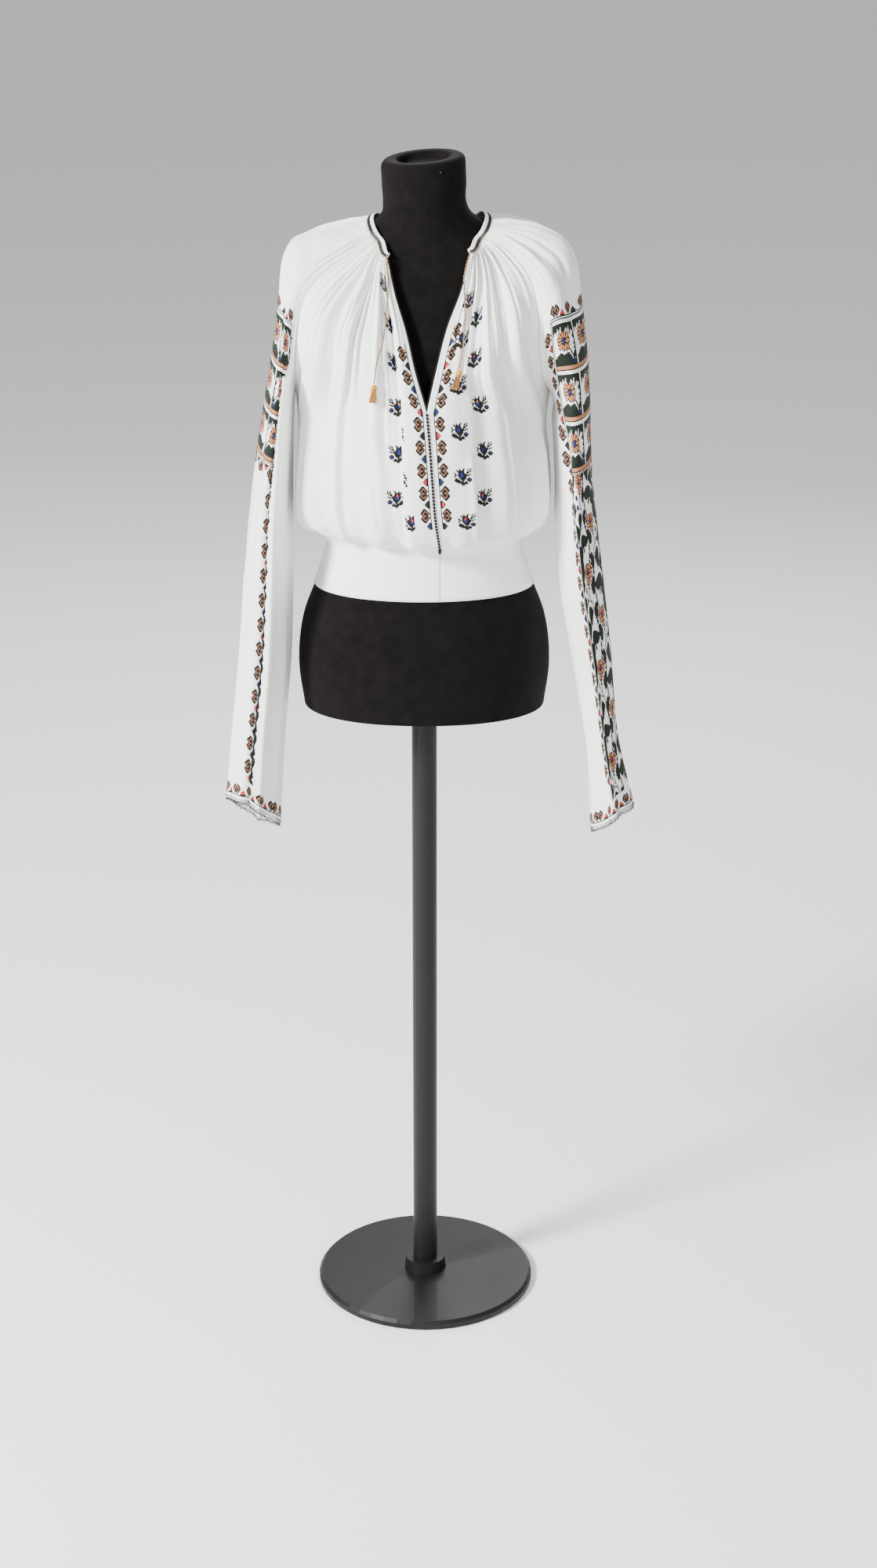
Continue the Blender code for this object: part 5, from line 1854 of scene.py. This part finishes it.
VINE_FLOWER = [
    "....KKKKKK.....",
    "..KKPPKPPKK.KK.",
    ".KPPKPKPKPPKPPK",
    ".KPPPKKPKPPKPPK",
    "KKKPPPKKKPPPKK.",
    "KPPKKKRRKKKKKKK",
    "KPPPPKRBBKPPPPK",
    "KKKKKKBBBKPPPPK",
    ".KPPPKKBKKKKKK.",
    "KPPPKPKKKPPPK..",
    "KPPKKPPKPKPPPK.",
    ".KK.KPPKPPKPPK.",
    "....KKK.KKKKK..",
]
BUD = [
    "..KKKKK..",
    ".KPPPPPK.",
    "KPPKKKPPK",
    "KPPK.KPPK",
    ".KPPKPPK.",
    "..KKKKK..",
    "...KKK...",
    "....K....",
    "...KKK...",
    "...KKK...",
    "....K....",
]
SLENDER_LEAF = [
    "....K.",
    "...KK.",
    "..KKKK",
    "..KGKK",
    ".KKGKK",
    ".KGKGK",
    "KKGKGK",
    "KGKKGK",
    "KGKGKK",
    "KKGKGK",
    "KGKGKK",
    "KKGKK.",
    ".KGKK.",
    ".KKKK.",
    ".KKK..",
    "..KK..",
    "..K...",
]
TREE_LEAF = [
    "......KKKKKK.......",
    "....KKGKGGKGKK.....",
    "..KKGGKGKGGKGGKK...",
    ".KGKGGKGGKGGKGKGK..",
    ".KGGKGGKGGKGGKGGKK.",
    "KGKGGKGKGGKGKGGKGGK",
    "KGGKGGKGGKGGKGGKGGK",
    "KGGGKGGKGKGKGGKGGKK",
    "KKGGKGKGGKGGKGKGGK.",
    ".KGGGKGGKKGGKGGGKK.",
    ".KKGGGKGKKGKGGGKK..",
    "..KKGGKKKKKGGKKK...",
    "....KKK.KKK.KKK....",
    "........KKK........",
    "........KKK........",
    ".........KKK.......",
    ".........KKK.......",
    "..........K........",
]
# the depths of jagged dark blocks, stitch by stitch
JAGGED = (10, 9, 7, 6, 8, 7, 5, 4, 6, 7, 5, 3)
DIVIDER = (2, 3, 4, 5, 5, 4, 3, 2, 3, 4, 5, 4, 3, 2, 2, 3, 4, 3, 2, 3, 4)
STEPPED = [
    # first row, depths
    (0, (9, 9, 9, 9, 9, 9, 8, 8, 7, 6, 5, 4, 4, 5, 6, 5, 4, 3, 2, 2)),
    (24, (2, 3, 4, 5, 4, 4, 5, 6, 5, 4, 3, 3, 2, 2)),
    (44, (2, 3, 4, 6, 7, 8, 9, 10, 10, 9, 8, 7, 6, 5, 4, 3, 2, 2)),
    (64, (3, 4, 6, 8, 9, 10, 11, 12, 12, 12, 11, 11, 10, 9, 8, 8, 9, 9, 9, 9)),
]
LAPPED_VINE = (9, 9, 10, 10, 10, 9, 9, 8, 7, 6, 5, 5, 6, 7, 8, 8, 9, 9, 8, 6, 5)


def grow(cells, start, depths, way, along_row):
    """A jagged dark block whose depth changes from stitch to stitch."""
    for step, depth in enumerate(depths):
        for k in range(depth):
            edge = k == 0 or k == depth - 1 or (2 * step + k) % 5 < 2
            u, v = (step, way * k) if along_row else (way * k, step)
            cells[(start[0] + u, start[1] + v)] = "K" if edge else "G"


def hatch(cells, left, top, wide):
    """A band of slanting brown and peach strokes between dark rows."""
    for u in range(wide):
        cells[(left + u, top)] = "H"
        cells[(left + u, top + 1)] = "P" if u % 3 == 0 else "H"
        cells[(left + u, top + 2)] = "P" if u % 3 == 1 else "H"
        cells[(left + u, top + 3)] = "K"


def altita_cells():
    cells = {}
    wide, tall = BOX_WIDE * ALTITA_COLUMNS, BOX_TALL * ALTITA_ROWS
    for box_row in range(ALTITA_ROWS):
        for box_column in range(ALTITA_COLUMNS):
            left, top = box_column * BOX_WIDE, box_row * BOX_TALL
            second = box_column >= ALTITA_COLUMNS // 2

            def at(u, v):
                return (left + (BOX_WIDE - 1 - u if second else u), top + v)

            box = {}
            grow(box, (2, 3), (JAGGED * 3)[:32], 1, True)
            grow(box, (2, 37), (JAGGED * 3)[4:36], -1, True)
            grow(box, (34, 4), DIVIDER + DIVIDER[:14], -1, False)
            stamp(box, FLOWER, 8, 9)
            stamp(box, WIDE_LEAF, 4, 27)
            stroke(box, (24, 24), (31, 33))
            stroke(box, (25, 24), (32, 33))
            stamp(box, BERRY, 28, 32)
            stroke(box, (7, 7), (8, 7))
            stroke(box, (7, 8), (8, 8))
            for (u, v), letter in box.items():
                cells[at(u, v)] = letter
        hatch(cells, 2, (box_row + 1) * BOX_TALL - 4, wide - 4)
    for step in range(wide):
        if step % 4 < 2:
            cells[(step, tall)] = "H"
        cells[(step, tall + 1)] = "K" if step % 4 in (1, 2) else "P"
    return cells


def outline_cells(wide, first_row, last_row):
    """The double lines down both sides of the altita or the vine."""
    cells = {}
    for v in range(first_row, last_row):
        for u in (0, 2, wide - 3, wide - 1):
            cells[(u, v)] = "K"
    return cells


def border_columns(cells, left, right, first_row, count):
    for step in range(count):
        top = first_row + step * SLEEVE_PITCH
        for side, mirrored in ((left, True), (right, False)):
            turn = TURNS[step % 3]
            near = side - len(CROSS[0]) if mirrored else side
            stamp(cells, CROSS, near, top + 4, mirrored=mirrored)
            near = side - len(TRIANGLE[0]) if mirrored else side
            stamp(cells, TRIANGLE, near, top + 17, turn, mirrored)


def border_row(cells, start, wide, top, upward):
    """Crosses and triangles that stand on, or hang from, a line across the sleeve."""
    count = int(wide / SLEEVE_PITCH)
    pitch = wide / count
    for step in range(count):
        near = start + round(step * pitch)
        stamp(cells, CROSS, near + 2, top - 10 if upward else top, mirrored=upward, upright=False)
        if step < count - 1:
            turn = TURNS[step % 3]
            stamp(cells, TRIANGLE, near + 15, top - 5 if upward else top, turn, upward, upright=False)


def vine_cells(count):
    cells = {}
    for step in range(count):
        for half in (0, 1):
            shift = step * VINE_PERIOD - half * VINE_PERIOD // 2
            part = {}
            for first, depths in STEPPED:
                grow(part, (3, shift + first), depths, 1, False)
            stamp(part, VINE_FLOWER, 13, shift + 0)
            stamp(part, BUD, 15, shift + 12)
            stroke(part, (19, shift + 22), (19, shift + 30))
            stamp(part, BERRY, 9, shift + 18)
            stamp(part, BERRY, 9, shift + 27)
            stroke(part, (14, shift + 22), (22, shift + 34))
            stroke(part, (14, shift + 30), (20, shift + 32))
            stamp(part, SLENDER_LEAF, 23, shift + 12)
            stamp(part, LEAF, 9, shift + 35)
            stamp(part, SLENDER_LEAF, 23, shift + 34)
            for near in (25, 26):
                stroke(part, (near, shift + 50), (near + 2, shift + 66))
                stroke(part, (near + 2, shift + 66), (near - 1, shift + 84))
            stroke(part, (21, shift + 34), (27, shift + 52))
            stamp(part, TREE_LEAF, 8, shift + 57)
            for (u, v), letter in part.items():
                place = (VINE_WIDE - 1 - u, v) if half else (u, v)
                cells[place] = letter
    return cells


def sleeve_place(panel, border, hang, outward, whole=0.0):
    """Places by length beyond the border's line, and down from the altita's foot.

    Outward is -1 where the vine lies between the line and the front seam. Where whole is given,
    it is the field's width, and the field reaches as far on the back as on the front.
    """
    table, drops = np.array(border, float), np.array(hang, float)
    index = np.arange(len(panel.rows))
    foot_row = panel.row_of(ALTITA_FOOT)
    foot = np.array([np.interp(foot_row, index, gone) for gone in panel.column_gone.T])
    middle = panel.columns // 4
    widths = panel.row_gone[:, -1]

    def place(u, v):
        line = np.interp(v, table[:, 0], table[:, 1])
        row = np.interp(foot[middle] + v, panel.column_gone[:, middle], index)
        share = (1 - 2 * line) / whole if whole else 1 / np.interp(row, index, widths)
        share = np.where(u < 0, 1 / np.interp(row, index, widths), share)
        column = np.clip((line + outward * u * share) * panel.columns, 0.5, panel.columns - 0.5)
        gone = np.interp(column, np.arange(panel.columns + 1), foot)
        outer = -np.cos(2 * math.pi * column / panel.columns)
        drop = np.interp(v, drops[:, 0], drops[:, 1]) + np.interp(v, drops[:, 0], drops[:, 2]) * outer
        return panel.row_along(column, gone + v + drop), column
    return place


def beyond_fold(panel):
    """Keeps only what shows beside the right sleeve's plain fold."""
    table = np.array(SLEEVE_EDGE_RIGHT, float)
    index = np.arange(len(panel.rows))

    def keep(row, column):
        along = np.interp(row, index, panel.rows)
        return column / panel.columns > np.interp(along, table[:, 0], table[:, 1]) + FOLD_MARGIN
    return keep


def sleeve_embroidery(side_name, border, hang, keep, vine_outward):
    panel = SLEEVES[side_name]
    wide_mm = BOX_WIDE * ALTITA_COLUMNS * ALTITA_STITCH[0]
    field_place = sleeve_place(panel, border, hang, 1, wide_mm)
    top = ALTITA_TOP
    wide, tall = BOX_WIDE * ALTITA_COLUMNS, BOX_TALL * ALTITA_ROWS + 2

    def altita_place(u, v):
        return field_place(u, v + top)

    field = {key: letter for key, letter in altita_cells().items() if 3 <= key[0] < wide - 3}
    field.update(outline_cells(wide, 0, tall))
    for u in range(wide):
        field[(u, -3)] = "K"
        field[(u, -1)] = "K"
    around = {}
    border_columns(around, 0, wide, 0, ALTITA_CROSSES)
    border_row(around, 0, wide, -3, True)
    for u in range(wide):
        around[(u, tall + 1)] = "K"
    if vine_outward > 0:
        border_row(around, VINE_WIDE, wide - VINE_WIDE, tall + 2, False)
    else:
        border_row(around, 0, wide, tall + 2, False)
    layers = [
        stitched(field, ALTITA_STITCH, panel, altita_place, keep),
        stitched(around, ALTITA_STITCH, panel, altita_place, keep),
    ]
    altita = embroidery("altita_cross_stitch_" + side_name, layers)

    index = np.arange(len(panel.rows))
    middle = panel.columns // 4
    foot = np.interp(panel.row_of(ALTITA_FOOT), index, panel.column_gone[:, middle])
    length = panel.column_gone[-1, middle] - foot - CUFF_CLEAR - VINE_TOP
    rows = int(length / SLEEVE_STITCH[1])
    line_place = sleeve_place(panel, border, hang, vine_outward)

    def vine_place(u, v):
        return line_place(u, v + VINE_TOP)

    if vine_outward > 0:
        cells = vine_cells(math.ceil(rows / VINE_PERIOD) + 1)
        cells.update(outline_cells(VINE_WIDE, 0, rows))
    else:
        cells = {}
        grow(cells, (1, 0), (LAPPED_VINE * math.ceil(rows / len(LAPPED_VINE)))[:rows], 1, False)
        stroke(cells, (0, 0), (0, rows))
    crosses = int(rows / SLEEVE_PITCH)
    border_columns(cells, 0, VINE_WIDE, 0, crosses)
    cells = {key: letter for key, letter in cells.items() if 0 <= key[1] < rows}
    layer = stitched(cells, SLEEVE_STITCH, panel, vine_place, keep)
    return [altita, embroidery("vine_cross_stitch_" + side_name, [layer])]


SLEEVE_WORK = {
    "right": sleeve_embroidery("right", BORDER_RIGHT, HANG_RIGHT, beyond_fold(SLEEVES["right"]), -1),
    "left": sleeve_embroidery("left", BORDER_LEFT, HANG_LEFT, None, 1),
}

# Cuff cross-stitch
# Round each wrist, a rolled hem whipped with black, a black line above it, and a row of
# crosses with red triangles between them.

CUFF_LINE = 7.4
CUFF_WHIP_PITCH = 3.0
CUFF_WHIP = (0.8, 4.6)
CUFF_REPEAT = 30.5
CUFF_STITCH_TALL = 1.42


def cuff_embroidery(side_name):
    panel = SLEEVES[side_name]
    last = len(panel.rows) - 1
    width = panel.row_gone[last, -1]
    repeats = round(width / CUFF_REPEAT)
    stitch = (width / (repeats * SLEEVE_PITCH), CUFF_STITCH_TALL)
    total = panel.column_gone[last]

    def place(u, v):
        column = np.clip(u / width * panel.columns, 0.3, panel.columns - 0.3)
        gone = np.interp(column, np.arange(panel.columns + 1), total)
        return panel.row_along(column, gone - v - CUFF_LINE), column

    cells = {}
    for step in range(repeats):
        near = step * SLEEVE_PITCH
        stamp(cells, CROSS, near + 1, 1, upright=False)
        stamp(cells, TRIANGLE, near + 15, 1, "R", upright=False)
        for u in range(SLEEVE_PITCH):
            cells[(near + u, 0)] = "K"
    layer = stitched(cells, stitch, panel, place)
    piece = embroidery("cuff_cross_stitch_" + side_name, [layer])
    count = int(width / CUFF_WHIP_PITCH)
    bodies = []
    for index in range(count):
        column = (index + 0.5) / count * panel.columns
        gone = np.interp(column, np.arange(panel.columns + 1), total)
        reach = np.linspace(*CUFF_WHIP, 4) * (1 if index % 2 else 0.72)
        columns = np.clip(column + np.linspace(0, 0.25, 4), 0.2, panel.columns - 0.2)
        path = panel.at(panel.row_along(columns, gone - reach), columns, 0.15)
        bodies.append((thread_body(path, np.array([0.30, 0.34, 0.34, 0.22]), 5), 0))
    points, faces, slots = joined(bodies)
    whip = made("cuff_whip_stitch_" + side_name, points, faces, [STITCH_BLACK], slots)
    return [piece, whip]


CUFF_WORK = {side_name: cuff_embroidery(side_name) for side_name in ("right", "left")}
